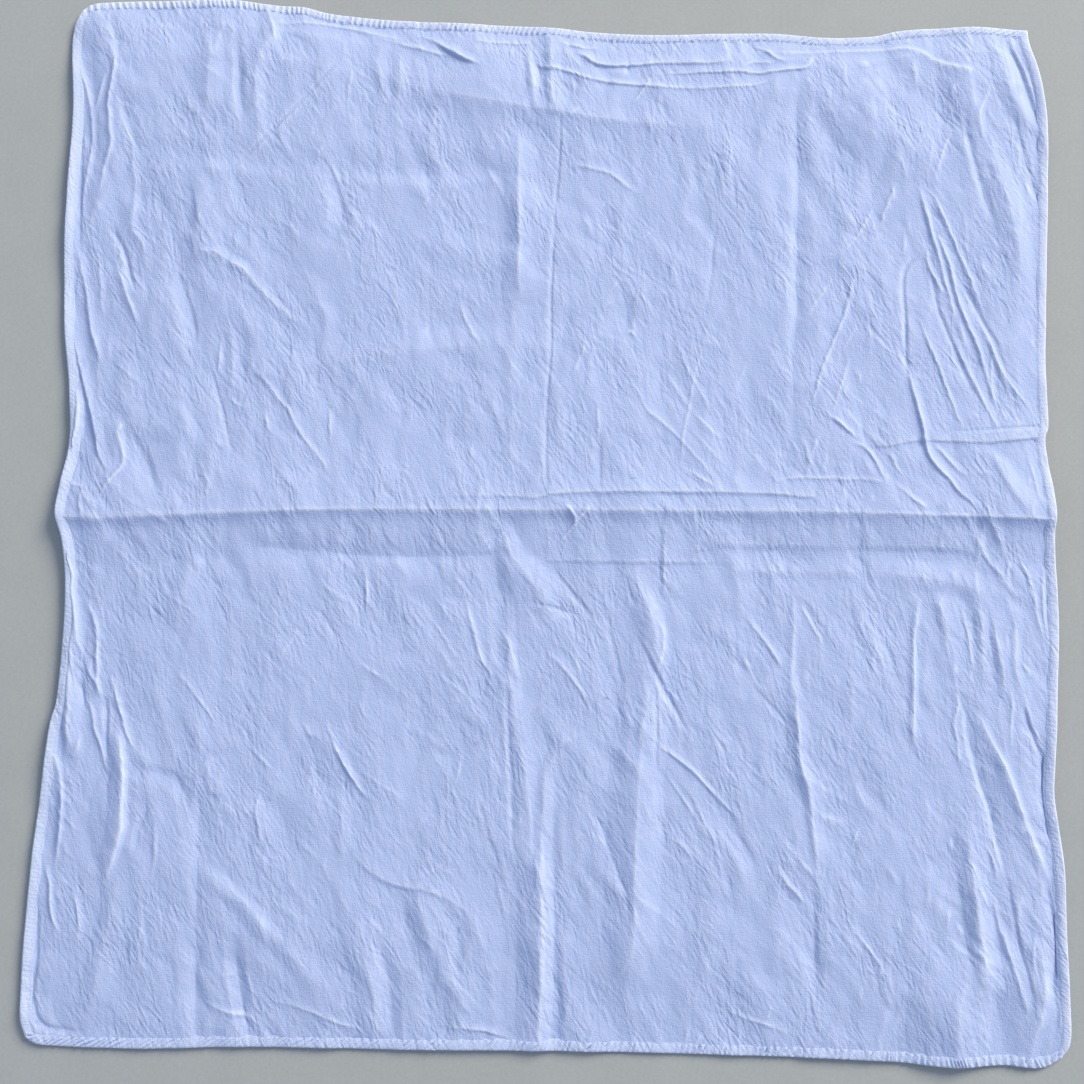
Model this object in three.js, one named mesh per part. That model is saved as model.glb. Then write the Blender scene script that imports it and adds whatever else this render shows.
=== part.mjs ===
// A plain cotton bandana: one square of thin cloth with its four edges turned and sewn down as a
// narrow hem. It lies flat, keeps the creases it was ironed into, and is crumpled along its sides.
// Millimetres. Tables measure from the crossing of the two centre creases, x across and y away.

import * as THREE from "three";

const SHEET_THICKNESS = 1.2;
const HEM_WIDTH = 5.5;
const HEM_STEP = 0.9;
const HEM_RISE = 0.7;
const HEM_ROUND = 0.5;
const CENTRE_FOLD_DROP = 1.8;
const CENTRE_FOLD_SPREAD = 22;
const LEDGE_DROP = 1.3;
const LEDGE_OVER_FOLD = 7.6;
const PLEAT_DROP = 1.4;
const PLEAT_WIDTH = 7.5;
const PLEAT_LIP = 38.4;
const SMALLEST_CELL = 1.6;
const CLOTH_COLOUR = 0xb0c0eb;

// Each side of the square wanders a little. Rows run from one corner to the next.
const LEFT_SIDE = table(["y", "x"], [
  [-275, -268.3], [-262, -269.5], [-227, -269.2], [-180, -266.6], [-146, -263.2], [-114, -260],
  [-100, -257], [-64, -255], [-40, -255], [-17, -257.2], [-2, -261.2], [14, -259.6],
  [38, -255.8], [70, -258], [104, -262], [160, -263.5], [214, -262], [240, -262.5],
  [266, -264.5], [286, -261.5],
]);
const RIGHT_SIDE = table(["y", "x"], [
  [-285.5, 269.5], [-274, 272.6], [-230, 272], [-187, 272], [-154, 268.6], [-137, 269.3],
  [-100, 272.5], [-63, 275.2], [-17, 274.5], [-4, 275], [13, 274.4], [27, 272.8],
  [39, 272.2], [47, 274.2], [75, 274.5], [133, 277.6], [190, 280.5], [220, 281.3],
  [245, 278.5], [263, 274.5], [272.7, 274],
]);
const NEAR_SIDE = table(["x", "y"], [
  [-268.3, -275], [-258, -277.8], [-208, -279.5], [-150, -278.6], [-73, -280], [0, -280.5],
  [71, -282], [140, -284], [180, -286], [211, -288.3], [238, -287.8], [256, -289.2],
  [269.5, -285.5],
]);
const FAR_SIDE = table(["x", "y"], [
  [-261.5, 286], [-252, 289.2], [-210, 290.8], [-175, 291], [-150, 287.8], [-134, 286.6],
  [-114, 282], [-65, 277.8], [0, 275], [29, 272], [68, 270.3], [127, 271.3], [160, 268.6],
  [185, 269.2], [205, 272.8], [242, 274.5], [274, 272.7],
]);

// The fold ironed right across the middle stands up as a low ridge, highest at the two hems.
const CENTRE_FOLD = table(["x", "y", "height"], [
  [-262, -3, 4.4], [-238, -3.4, 4.8], [-150, 0, 4.6], [-60, 1.2, 4.6], [60, 1.2, 5],
  [145, 0, 5.2], [200, -1.4, 5.4], [250, -3, 6], [275, -5, 6.6],
]);

// Folds across the cloth that stop short. Each has a near flank, a far flank, then its crest.
const ACROSS_FOLDS = [
  fold("ledge_over_centre", LEDGE_DROP, 30, [
    [-58, 9, 0], [-20, 8.2, 0.9], [0, 7.6, 1.1], [12, 8.6, 1.5], [120, 8.8, 1.7], [146, 8, 1.2],
    [154, 8, 0],
  ]),
  fold("right_pleat", PLEAT_DROP, PLEAT_WIDTH + 1, [
    [150, 38.6, 0], [172, 37, 1], [206, 39, 2.4], [240, 38.4, 2.8], [273, 40, 3.2],
  ]),
  fold("far_hem_tuck", 2.5, 7, [
    [-74, 271, 0], [-62, 266, 2], [-50, 258.5, 3], [-40, 255, 1.4], [-30, 254, 0],
  ]),
  fold("far_ledge", 2.5, 9, [
    [18, 262, 0], [28, 257, 2.2], [44, 252.6, 2.6], [80, 254, 2.2], [118, 256, 1], [132, 258, 0],
  ]),
  fold("far_crease", 2.5, 7, [
    [-10, 252, 0], [20, 248, 1.2], [58, 241.4, 1.8], [92, 239, 1.2], [126, 241, 0],
  ]),
  fold("far_right_roll", 9, 5, [
    [128, 261, 0], [160, 262, 1.8], [204, 263.6, 1.8], [220, 255, 1.8], [236, 251, 0],
  ]),
  fold("left_diagonal", 5, 6, [
    [-196, 153, 0], [-182, 146, 1.6], [-165, 137, 2], [-150, 121, 1.6], [-138, 108, 0],
  ]),
  fold("near_swell", 4, 15, [
    [-84, -197, 0], [-66, -199, 2.4], [-52, -203, 3], [-40, -209, 1.8], [-28, -216, 0],
  ]),
  fold("near_left_tuck", 7, 4, [
    [-180, -254, 0], [-160, -260, 1.8], [-120, -268, 1.4], [-96, -272, 0],
  ]),
];

// Folds running away from the maker, near to far. Flanks are to the left, then to the right.
const DOWN_FOLDS = [
  fold("left_hem_lift", 1, 10, [
    [-268, -272, 1.2], [-269.5, -245, 4], [-268, -200, 4.4], [-263.4, -146, 4], [-258, -104, 3.8],
    [-255, -60, 3.4], [-257, -18, 3], [-261.2, -2, 2.2], [-259.4, 15, 2.4], [-255.8, 40, 3],
    [-258, 70, 2.2], [-262, 104, 3.2], [-263.5, 160, 4.6], [-262, 214, 4.6], [-262.6, 242, 4],
    [-264.5, 268, 1.6], [-262, 284, 0.6],
  ]),
  fold("far_left_crest", 9, 14, [
    [-236, 202, 0], [-240, 216, 2.6], [-242, 242, 3.8], [-241, 262, 3.6], [-247, 282, 1],
  ]),
  fold("left_slant", 8, 5, [[-222, 106, 0], [-225, 120, 2.2], [-230, 140, 3], [-240, 162, 0]]),
  fold("left_long", 6, 8, [[-241, 78, 0], [-246, 95, 2.4], [-253, 125, 3], [-258, 152, 0.8]]),
  fold("left_deep", 3.5, 12, [[-238, 24, 0], [-242, 38, 3.4], [-247, 56, 4.4], [-258, 92, 1]]),
  fold("left_below_centre", 8, 5, [
    [-244, -96, 0], [-246, -80, 3.2], [-250, -50, 5], [-252, -32, 5], [-259, -12, 3],
  ]),
  fold("left_second", 6, 5, [
    [-231, -140, 0], [-236, -117, 2.8], [-236, -84, 3], [-238, -62, 3], [-243, -48, 0],
  ]),
  fold("left_sharp", 8, 3, [
    [-228, -197, 0], [-222, -178, 3.6], [-221, -150, 4.2], [-223, -122, 3.4], [-232, -88, 0],
  ]),
  fold("centre_crease_near", 10, 6, [
    [-3, -278, 2.6], [0, -240, 4], [0, -196, 4], [-8, -150, 2.4], [-16, -110, 1.4],
    [-22, -80, 0],
  ]),
  fold("centre_crease_far", 10, 10, [
    [-16, 98, 0], [-14, 124, 2.2], [-13, 160, 2.6], [-13, 206, 2.2], [-8, 230, 0],
  ]),
  fold("near_middle", 17, 13, [
    [32, -252, 0], [47, -230, 2.2], [50, -190, 3.2], [51, -150, 3.2], [52, -115, 2.2],
    [44, -84, 0],
  ]),
  fold("quarter_crease", 9, 10, [
    [138, 58, 0], [142, 100, 1.4], [149, 140, 2], [150, 214, 2], [152, 246, 0],
  ]),
  fold("right_deep", 3, 8, [
    [227, 6, 1.6], [218, 18, 3.6], [210, 28, 4.6], [207, 45, 4.8], [204, 65, 3.2], [201, 82, 0],
  ]),
  fold("right_fan_inner", 6, 6, [
    [246, 50, 0.6], [240, 80, 2.4], [234, 100, 3.4], [228, 118, 3.8], [223, 140, 3],
    [217, 166, 0],
  ]),
  fold("right_fan_outer", 6, 5, [
    [250, 96, 0], [246, 105, 2], [240, 120, 3], [232, 138, 3.2], [224, 160, 2], [217, 184, 0],
  ]),
  fold("right_soft", 7, 9, [
    [252, 108, 0], [254, 130, 2.6], [259, 155, 4], [256, 182, 3.4], [249, 208, 0],
  ]),
  fold("far_right_crest", 14, 12, [
    [266, 172, 0], [262, 200, 3], [256, 230, 3.6], [250, 250, 4.4], [247, 271, 2.6],
  ]),
  fold("near_right_long", 12, 8, [
    [269, -205, 1.4], [262, -185, 3.2], [254, -165, 4], [247, -143, 4.2], [238, -122, 3.2],
    [229, -106, 0],
  ]),
  fold("near_right_band", 8, 9, [
    [226, -280, 2], [228, -262, 3], [231, -238, 3.8], [228, -215, 4], [224, -195, 3.2],
    [221, -176, 0],
  ]),
  fold("near_right_last", 6, 7, [
    [257, -272, 0.6], [255, -255, 3.2], [250, -230, 3.6], [245, -210, 3.4], [240, -188, 0],
  ]),
  fold("right_hem_lift", 3, 6, [
    [269, -276, 1.2], [267, -250, 3], [267, -215, 3.4], [266, -185, 3.2], [263.5, -155, 3.2],
    [263.5, -132, 3.4], [259, -115, 2.6], [254, -94, 0],
  ]),
];

// Lines of vertices run across the cloth at these places, near to far, each with the number of
// cells up to the next. They bend to follow the centre fold, its ledge and the right pleat.
const ACROSS_LINES = [
  { place: (x) => nearSide(x), cells: 1 },
  { place: (x) => nearSide(x) + HEM_WIDTH, cells: 1 },
  { place: (x) => nearSide(x) + HEM_WIDTH + HEM_STEP, cells: 18 },
  { place: () => -CENTRE_FOLD_SPREAD, cells: 1 },
  { place: (x) => centreFold(x).y - CENTRE_FOLD_DROP, cells: 1 },
  { place: (x) => centreFold(x).y, cells: 1 },
  { place: (x) => centreFold(x).y + LEDGE_OVER_FOLD - LEDGE_DROP, cells: 1 },
  { place: (x) => centreFold(x).y + LEDGE_OVER_FOLD, cells: 2 },
  { place: () => PLEAT_LIP - PLEAT_DROP, cells: 1 },
  { place: () => PLEAT_LIP, cells: 1 },
  { place: () => PLEAT_LIP + PLEAT_WIDTH, cells: 18 },
  { place: (x) => farSide(x) - HEM_WIDTH - HEM_STEP, cells: 1 },
  { place: (x) => farSide(x) - HEM_WIDTH, cells: 1 },
  { place: (x) => farSide(x), cells: 0 },
];

// Lines of vertices running away, left to right: close together in the crumpled margins.
const DOWN_LINES = [
  { place: (y) => leftSide(y), cells: 1 },
  { place: (y) => leftSide(y) + HEM_WIDTH, cells: 1 },
  { place: (y) => leftSide(y) + HEM_WIDTH + HEM_STEP, cells: 6 },
  { place: () => -212, cells: 22 },
  { place: () => 196, cells: 13 },
  { place: (y) => rightSide(y) - HEM_WIDTH - HEM_STEP, cells: 1 },
  { place: (y) => rightSide(y) - HEM_WIDTH, cells: 1 },
  { place: (y) => rightSide(y), cells: 0 },
];

function table(names, rows) {
  return rows.map((row) => Object.fromEntries(names.map((name, i) => [name, row[i]])));
}

function fold(name, flankBefore, flankAfter, rows) {
  return { name, flankBefore, flankAfter, rows: table(["x", "y", "height"], rows) };
}

// A smooth line through the rows of a table, read at one place along it.
function readAlong(rows, along, wanted, at) {
  const last = rows.length - 1;
  const direction = Math.sign(rows[last][along] - rows[0][along]);
  const place = THREE.MathUtils.clamp(
    at * direction,
    rows[0][along] * direction,
    rows[last][along] * direction,
  ) * direction;
  let i = 0;
  while (i < last - 1 && (rows[i + 1][along] - place) * direction < 0) i += 1;
  const slope = (a, b) => (rows[b][wanted] - rows[a][wanted]) / (rows[b][along] - rows[a][along]);
  const slopeAt = (k) => {
    if (k === 0) return slope(0, 1);
    if (k === last) return slope(last - 1, last);
    const before = slope(k - 1, k);
    const after = slope(k, k + 1);
    return before * after <= 0 ? 0 : (2 * before * after) / (before + after);
  };
  const span = rows[i + 1][along] - rows[i][along];
  const t = (place - rows[i][along]) / span;
  const blend = t * t * (3 - 2 * t);
  const bend = slopeAt(i) * t * (1 - t) ** 2 - slopeAt(i + 1) * t * t * (1 - t);
  return THREE.MathUtils.lerp(rows[i][wanted], rows[i + 1][wanted], blend) + bend * span;
}

const leftSide = (y) => readAlong(LEFT_SIDE, "y", "x", y);
const rightSide = (y) => readAlong(RIGHT_SIDE, "y", "x", y);
const nearSide = (x) => readAlong(NEAR_SIDE, "x", "y", x);
const farSide = (x) => readAlong(FAR_SIDE, "x", "y", x);

function centreFold(x) {
  return {
    y: readAlong(CENTRE_FOLD, "x", "y", x),
    height: readAlong(CENTRE_FOLD, "x", "height", x),
  };
}

// Straight flanks falling away from a crest, like a tent.
function tent(distance, before, after) {
  const flank = distance < 0 ? before : after;
  return Math.max(0, 1 - Math.abs(distance) / flank);
}

// The folds a line crosses at one place along them, with the reach of each flank, tallest first.
function crestsCrossed(folds, along, across, at) {
  return folds
    .filter(({ rows }) => (at - rows[0][along]) * (at - rows[rows.length - 1][along]) < 0)
    .map(({ rows, flankBefore, flankAfter }) => ({
      crest: readAlong(rows, along, across, at),
      height: readAlong(rows, along, "height", at),
      before: flankBefore,
      after: flankAfter,
    }))
    .filter(({ height }) => height > 0.1)
    .sort((a, b) => b.height - a.height);
}

function tallestLift(folds, along, across, at, place) {
  const lifts = crestsCrossed(folds, along, across, at).map(
    ({ crest, height, before, after }) => height * tent(place - crest, before, after),
  );
  return Math.max(0, ...lifts);
}

// The centre fold: half its height is a gentle rise on both sides, half a steep drop on the near
// side where the cloth tucks under.
function centreFoldLift(x, y) {
  const { y: crest, height } = centreFold(x);
  const gentle = tent(y - crest, CENTRE_FOLD_SPREAD, 34);
  const steep = tent(y - crest, CENTRE_FOLD_DROP, 34);
  return height * (0.45 * gentle + 0.55 * steep);
}

function clothLift(x, y) {
  const across = tallestLift(ACROSS_FOLDS, "x", "y", x, y);
  const down = tallestLift(DOWN_FOLDS, "y", "x", y, x);
  return centreFoldLift(x, y) + across + down;
}

// Where the lines of a set fall at one place along them. The even lines between the named ones are
// free: the nearest is moved onto each crest crossed there, tallest first, and the lines beside it
// onto the feet of a narrow fold.
function linePlaces(lines, folds, along, across, at) {
  const places = [];
  const free = [];
  lines.forEach((line, k) => {
    const here = line.place(at);
    places.push(here);
    free.push(false);
    if (k === lines.length - 1) return;
    const next = lines[k + 1].place(at);
    for (let c = 1; c < line.cells; c += 1) {
      places.push(THREE.MathUtils.lerp(here, next, c / line.cells));
      free.push(true);
    }
  });
  const moveTo = (i, place) => {
    if (!free[i]) return;
    if (place - places[i - 1] < SMALLEST_CELL || places[i + 1] - place < SMALLEST_CELL) return;
    places[i] = place;
    free[i] = false;
  };
  for (const { crest, before, after } of crestsCrossed(folds, along, across, at)) {
    const nearest = places.reduce((best, place, i) => (
      Math.abs(place - crest) < Math.abs(places[best] - crest) ? i : best
    ), 0);
    moveTo(nearest, crest);
    moveTo(nearest - 1, Math.max(crest - before, places[nearest - 1]));
    moveTo(nearest + 1, Math.min(crest + after, places[nearest + 1]));
  }
  return places;
}

const acrossPlaces = (x) => linePlaces(ACROSS_LINES, ACROSS_FOLDS, "x", "y", x);
const downPlaces = (y) => linePlaces(DOWN_LINES, DOWN_FOLDS, "y", "x", y);

const columns = downPlaces(0).length;
const rows = acrossPlaces(0).length;
const isHem = (i, j) => i < 2 || i > columns - 3 || j < 2 || j > rows - 3;

// The middle of the sheet's thickness: a net of vertices, row by row from the near side.
function middleSurface() {
  const net = [];
  for (let j = 0; j < rows; j += 1) {
    const row = [];
    for (let i = 0; i < columns; i += 1) {
      let x = downPlaces(0)[i];
      let y = acrossPlaces(x)[j];
      for (let pass = 0; pass < 2; pass += 1) {
        x = downPlaces(y)[i];
        y = acrossPlaces(x)[j];
      }
      row.push(new THREE.Vector3(x, y, SHEET_THICKNESS / 2 + clothLift(x, y)));
    }
    net.push(row);
  }
  return net;
}

// Two triangles to a cell, split along the diagonal that stays nearest one height, so a crest that
// crosses a cell is not cut through.
function splitCells(net) {
  const triangles = [];
  for (let j = 0; j < rows - 1; j += 1) {
    for (let i = 0; i < columns - 1; i += 1) {
      const [a, b, c, d] = [[i, j], [i + 1, j], [i + 1, j + 1], [i, j + 1]];
      const height = ([p, q]) => net[q][p].z;
      if (Math.abs(height(a) - height(c)) <= Math.abs(height(b) - height(d))) {
        triangles.push([a, b, c], [a, c, d]);
      } else {
        triangles.push([a, b, d], [b, c, d]);
      }
    }
  }
  return triangles;
}

function vertexNormals(net, triangles) {
  const normals = net.map((row) => row.map(() => new THREE.Vector3()));
  const face = new THREE.Triangle();
  const direction = new THREE.Vector3();
  for (const corners of triangles) {
    const [a, b, c] = corners.map(([i, j]) => net[j][i]);
    face.set(a, b, c).getNormal(direction);
    const area = face.getArea();
    for (const [i, j] of corners) normals[j][i].addScaledVector(direction, area);
  }
  return normals.map((row) => row.map((normal) => normal.normalize()));
}

// The closed sheet: the top and underside stand off the middle surface, the hem is thicker on top,
// and a strip closes the edge all round.
function clothGeometry() {
  const net = middleSurface();
  const triangles = splitCells(net);
  const normals = vertexNormals(net, triangles);
  const centre = new THREE.Vector3();
  const top = [];
  const under = [];
  for (let j = 0; j < rows; j += 1) {
    for (let i = 0; i < columns; i += 1) {
      const middle = net[j][i];
      const normal = normals[j][i];
      const rise = isHem(i, j) ? HEM_RISE : 0;
      const upper = middle.clone().addScaledVector(normal, SHEET_THICKNESS / 2 + rise);
      if (i === 0 || i === columns - 1 || j === 0 || j === rows - 1) {
        const inward = centre.clone().sub(middle).setZ(0).normalize();
        upper.addScaledVector(inward, HEM_ROUND);
      }
      top.push(upper);
      under.push(middle.clone().addScaledVector(normal, -SHEET_THICKNESS / 2));
    }
  }
  const index = (i, j) => j * columns + i;
  const faces = [];
  for (const [a, b, c] of triangles) {
    const [p, q, r] = [index(...a), index(...b), index(...c)];
    faces.push([p, q, r], [p + top.length, r + top.length, q + top.length]);
  }
  const rim = [];
  for (let i = 0; i < columns - 1; i += 1) rim.push(index(i, 0));
  for (let j = 0; j < rows - 1; j += 1) rim.push(index(columns - 1, j));
  for (let i = columns - 1; i > 0; i -= 1) rim.push(index(i, rows - 1));
  for (let j = rows - 1; j > 0; j -= 1) rim.push(index(0, j));
  rim.forEach((here, k) => {
    const next = rim[(k + 1) % rim.length];
    faces.push([here, here + top.length, next + top.length]);
    faces.push([here, next + top.length, next]);
  });
  const geometry = new THREE.BufferGeometry();
  const points = [...top, ...under].flatMap((point) => point.toArray());
  geometry.setAttribute("position", new THREE.Float32BufferAttribute(points, 3));
  geometry.setIndex(faces.flat());
  geometry.computeBoundingBox();
  const { min, max } = geometry.boundingBox;
  geometry.translate(-(min.x + max.x) / 2, -(min.y + max.y) / 2, -min.z);
  geometry.computeVertexNormals();
  return geometry;
}

const cotton = new THREE.MeshStandardMaterial({
  color: CLOTH_COLOUR,
  roughness: 0.95,
  metalness: 0,
});

const bandana = new THREE.Group();
bandana.name = "bandana";
const cloth = new THREE.Mesh(clothGeometry(), cotton);
cloth.name = "bandana_cloth";
bandana.add(cloth);

export default bandana;
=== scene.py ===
import math

import bmesh
import bpy
import numpy as np
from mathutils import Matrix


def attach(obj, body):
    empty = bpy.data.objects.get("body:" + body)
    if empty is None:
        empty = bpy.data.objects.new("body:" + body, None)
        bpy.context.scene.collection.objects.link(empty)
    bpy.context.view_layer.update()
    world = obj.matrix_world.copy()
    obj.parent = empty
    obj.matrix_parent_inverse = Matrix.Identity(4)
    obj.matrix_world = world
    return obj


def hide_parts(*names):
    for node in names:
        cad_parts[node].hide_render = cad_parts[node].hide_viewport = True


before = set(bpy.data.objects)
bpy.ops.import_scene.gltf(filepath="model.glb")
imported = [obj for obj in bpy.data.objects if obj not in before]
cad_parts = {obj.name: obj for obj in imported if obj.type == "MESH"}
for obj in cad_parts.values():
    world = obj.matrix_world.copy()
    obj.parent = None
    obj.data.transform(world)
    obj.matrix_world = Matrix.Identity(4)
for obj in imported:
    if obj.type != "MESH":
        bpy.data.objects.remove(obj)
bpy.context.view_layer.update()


# ---------------------------------------------------------------------------------------------
# Camera. It looks down on the cloth from about arm's length, square to it and tipped a few
# degrees towards its far side.
# Sizes are in millimetres and are measured from the crossing of the two centre creases.
# ---------------------------------------------------------------------------------------------
MM = 0.001
CROSSING_X = -5.85
CROSSING_Y = -0.84
CAMERA_HEIGHT = 584
CAMERA_BACK = 73.9
CAMERA_TIP = math.radians(5.55)
CAMERA_SPREAD = math.radians(53)
camera_data = bpy.data.cameras.new("camera")
camera_data.sensor_fit = "HORIZONTAL"
camera_data.angle = CAMERA_SPREAD
camera_data.clip_start = 0.01
camera = bpy.data.objects.new("camera", camera_data)
camera.location = (CROSSING_X * MM, (CROSSING_Y - CAMERA_BACK) * MM, CAMERA_HEIGHT * MM)
camera.rotation_euler = (CAMERA_TIP, 0, 0)
bpy.context.collection.objects.link(camera)
bpy.context.scene.camera = camera
bpy.context.scene.view_settings.view_transform = "Standard"


# ---------------------------------------------------------------------------------------------
# Cloth. One square of thin plain-weave cotton, washed soft and laid out flat. It keeps the folds
# it was ironed into, the pulls along its sides and a fine crumple all over. It is made as a
# relief of creases, each pressed in along its own line, and then meshed as one closed sheet.
# ---------------------------------------------------------------------------------------------
rng = np.random.default_rng(22)

# Each side of the square wanders a little: the place along it, then the side itself.
LEFT_SIDE = (
    (-275, -268.3), (-262, -269.5), (-227, -269.2), (-180, -266.6), (-146, -263.2),
    (-114, -260), (-100, -257), (-64, -255), (-40, -255), (-17, -257.2), (-2, -261.2),
    (14, -259.6), (38, -255.8), (70, -258), (104, -262), (160, -263.5), (214, -262),
    (240, -262.5), (266, -264.5), (286, -261.5),
)
RIGHT_SIDE = (
    (-285.5, 269.5), (-274, 272.6), (-230, 272), (-187, 272), (-154, 268.6), (-137, 269.3),
    (-100, 272.5), (-63, 275.2), (-17, 274.5), (-4, 275), (13, 274.4), (27, 272.8),
    (39, 272.2), (47, 274.2), (75, 274.5), (133, 277.6), (190, 280.5), (220, 281.3),
    (245, 278.5), (263, 274.5), (272.7, 274),
)
NEAR_SIDE = (
    (-268.3, -275), (-258, -277.8), (-208, -279.5), (-150, -278.6), (-73, -280), (0, -280.5),
    (71, -282), (140, -284), (180, -286), (211, -288.3), (238, -287.8), (256, -289.2),
    (269.5, -285.5),
)
FAR_SIDE = (
    (-261.5, 286), (-252, 289.2), (-210, 290.8), (-175, 291), (-150, 287.8), (-134, 286.6),
    (-114, 282), (-65, 277.8), (0, 275), (29, 272), (68, 270.3), (127, 271.3), (160, 268.6),
    (185, 269.2), (205, 272.8), (242, 274.5), (274, 272.7),
)


def through(rows, steps=12):
    """A smooth line through a table's rows, as finely stepped rows."""
    p = np.array(rows, float)
    ends = np.vstack([2 * p[0] - p[1], p, 2 * p[-1] - p[-2]])
    t = np.linspace(0, 1, steps, endpoint=False)[:, None]
    parts = []
    for a, b, c, d in zip(ends[:-3], ends[1:-2], ends[2:-1], ends[3:]):
        parts.append(b + 0.5 * t * (c - a)
                     + t ** 2 * (a - 2.5 * b + 2 * c - 0.5 * d)
                     + t ** 3 * (1.5 * (b - c) + 0.5 * (d - a)))
    parts.append(p[-1:])
    return np.vstack(parts)


def side(rows):
    """What a table gives at any place along one side, read off a smooth line through its rows."""
    line = through(rows)
    return lambda at: np.interp(at, line[:, 0], line[:, 1])


left, right, near, far = (side(rows) for rows in (LEFT_SIDE, RIGHT_SIDE, NEAR_SIDE, FAR_SIDE))

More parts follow.
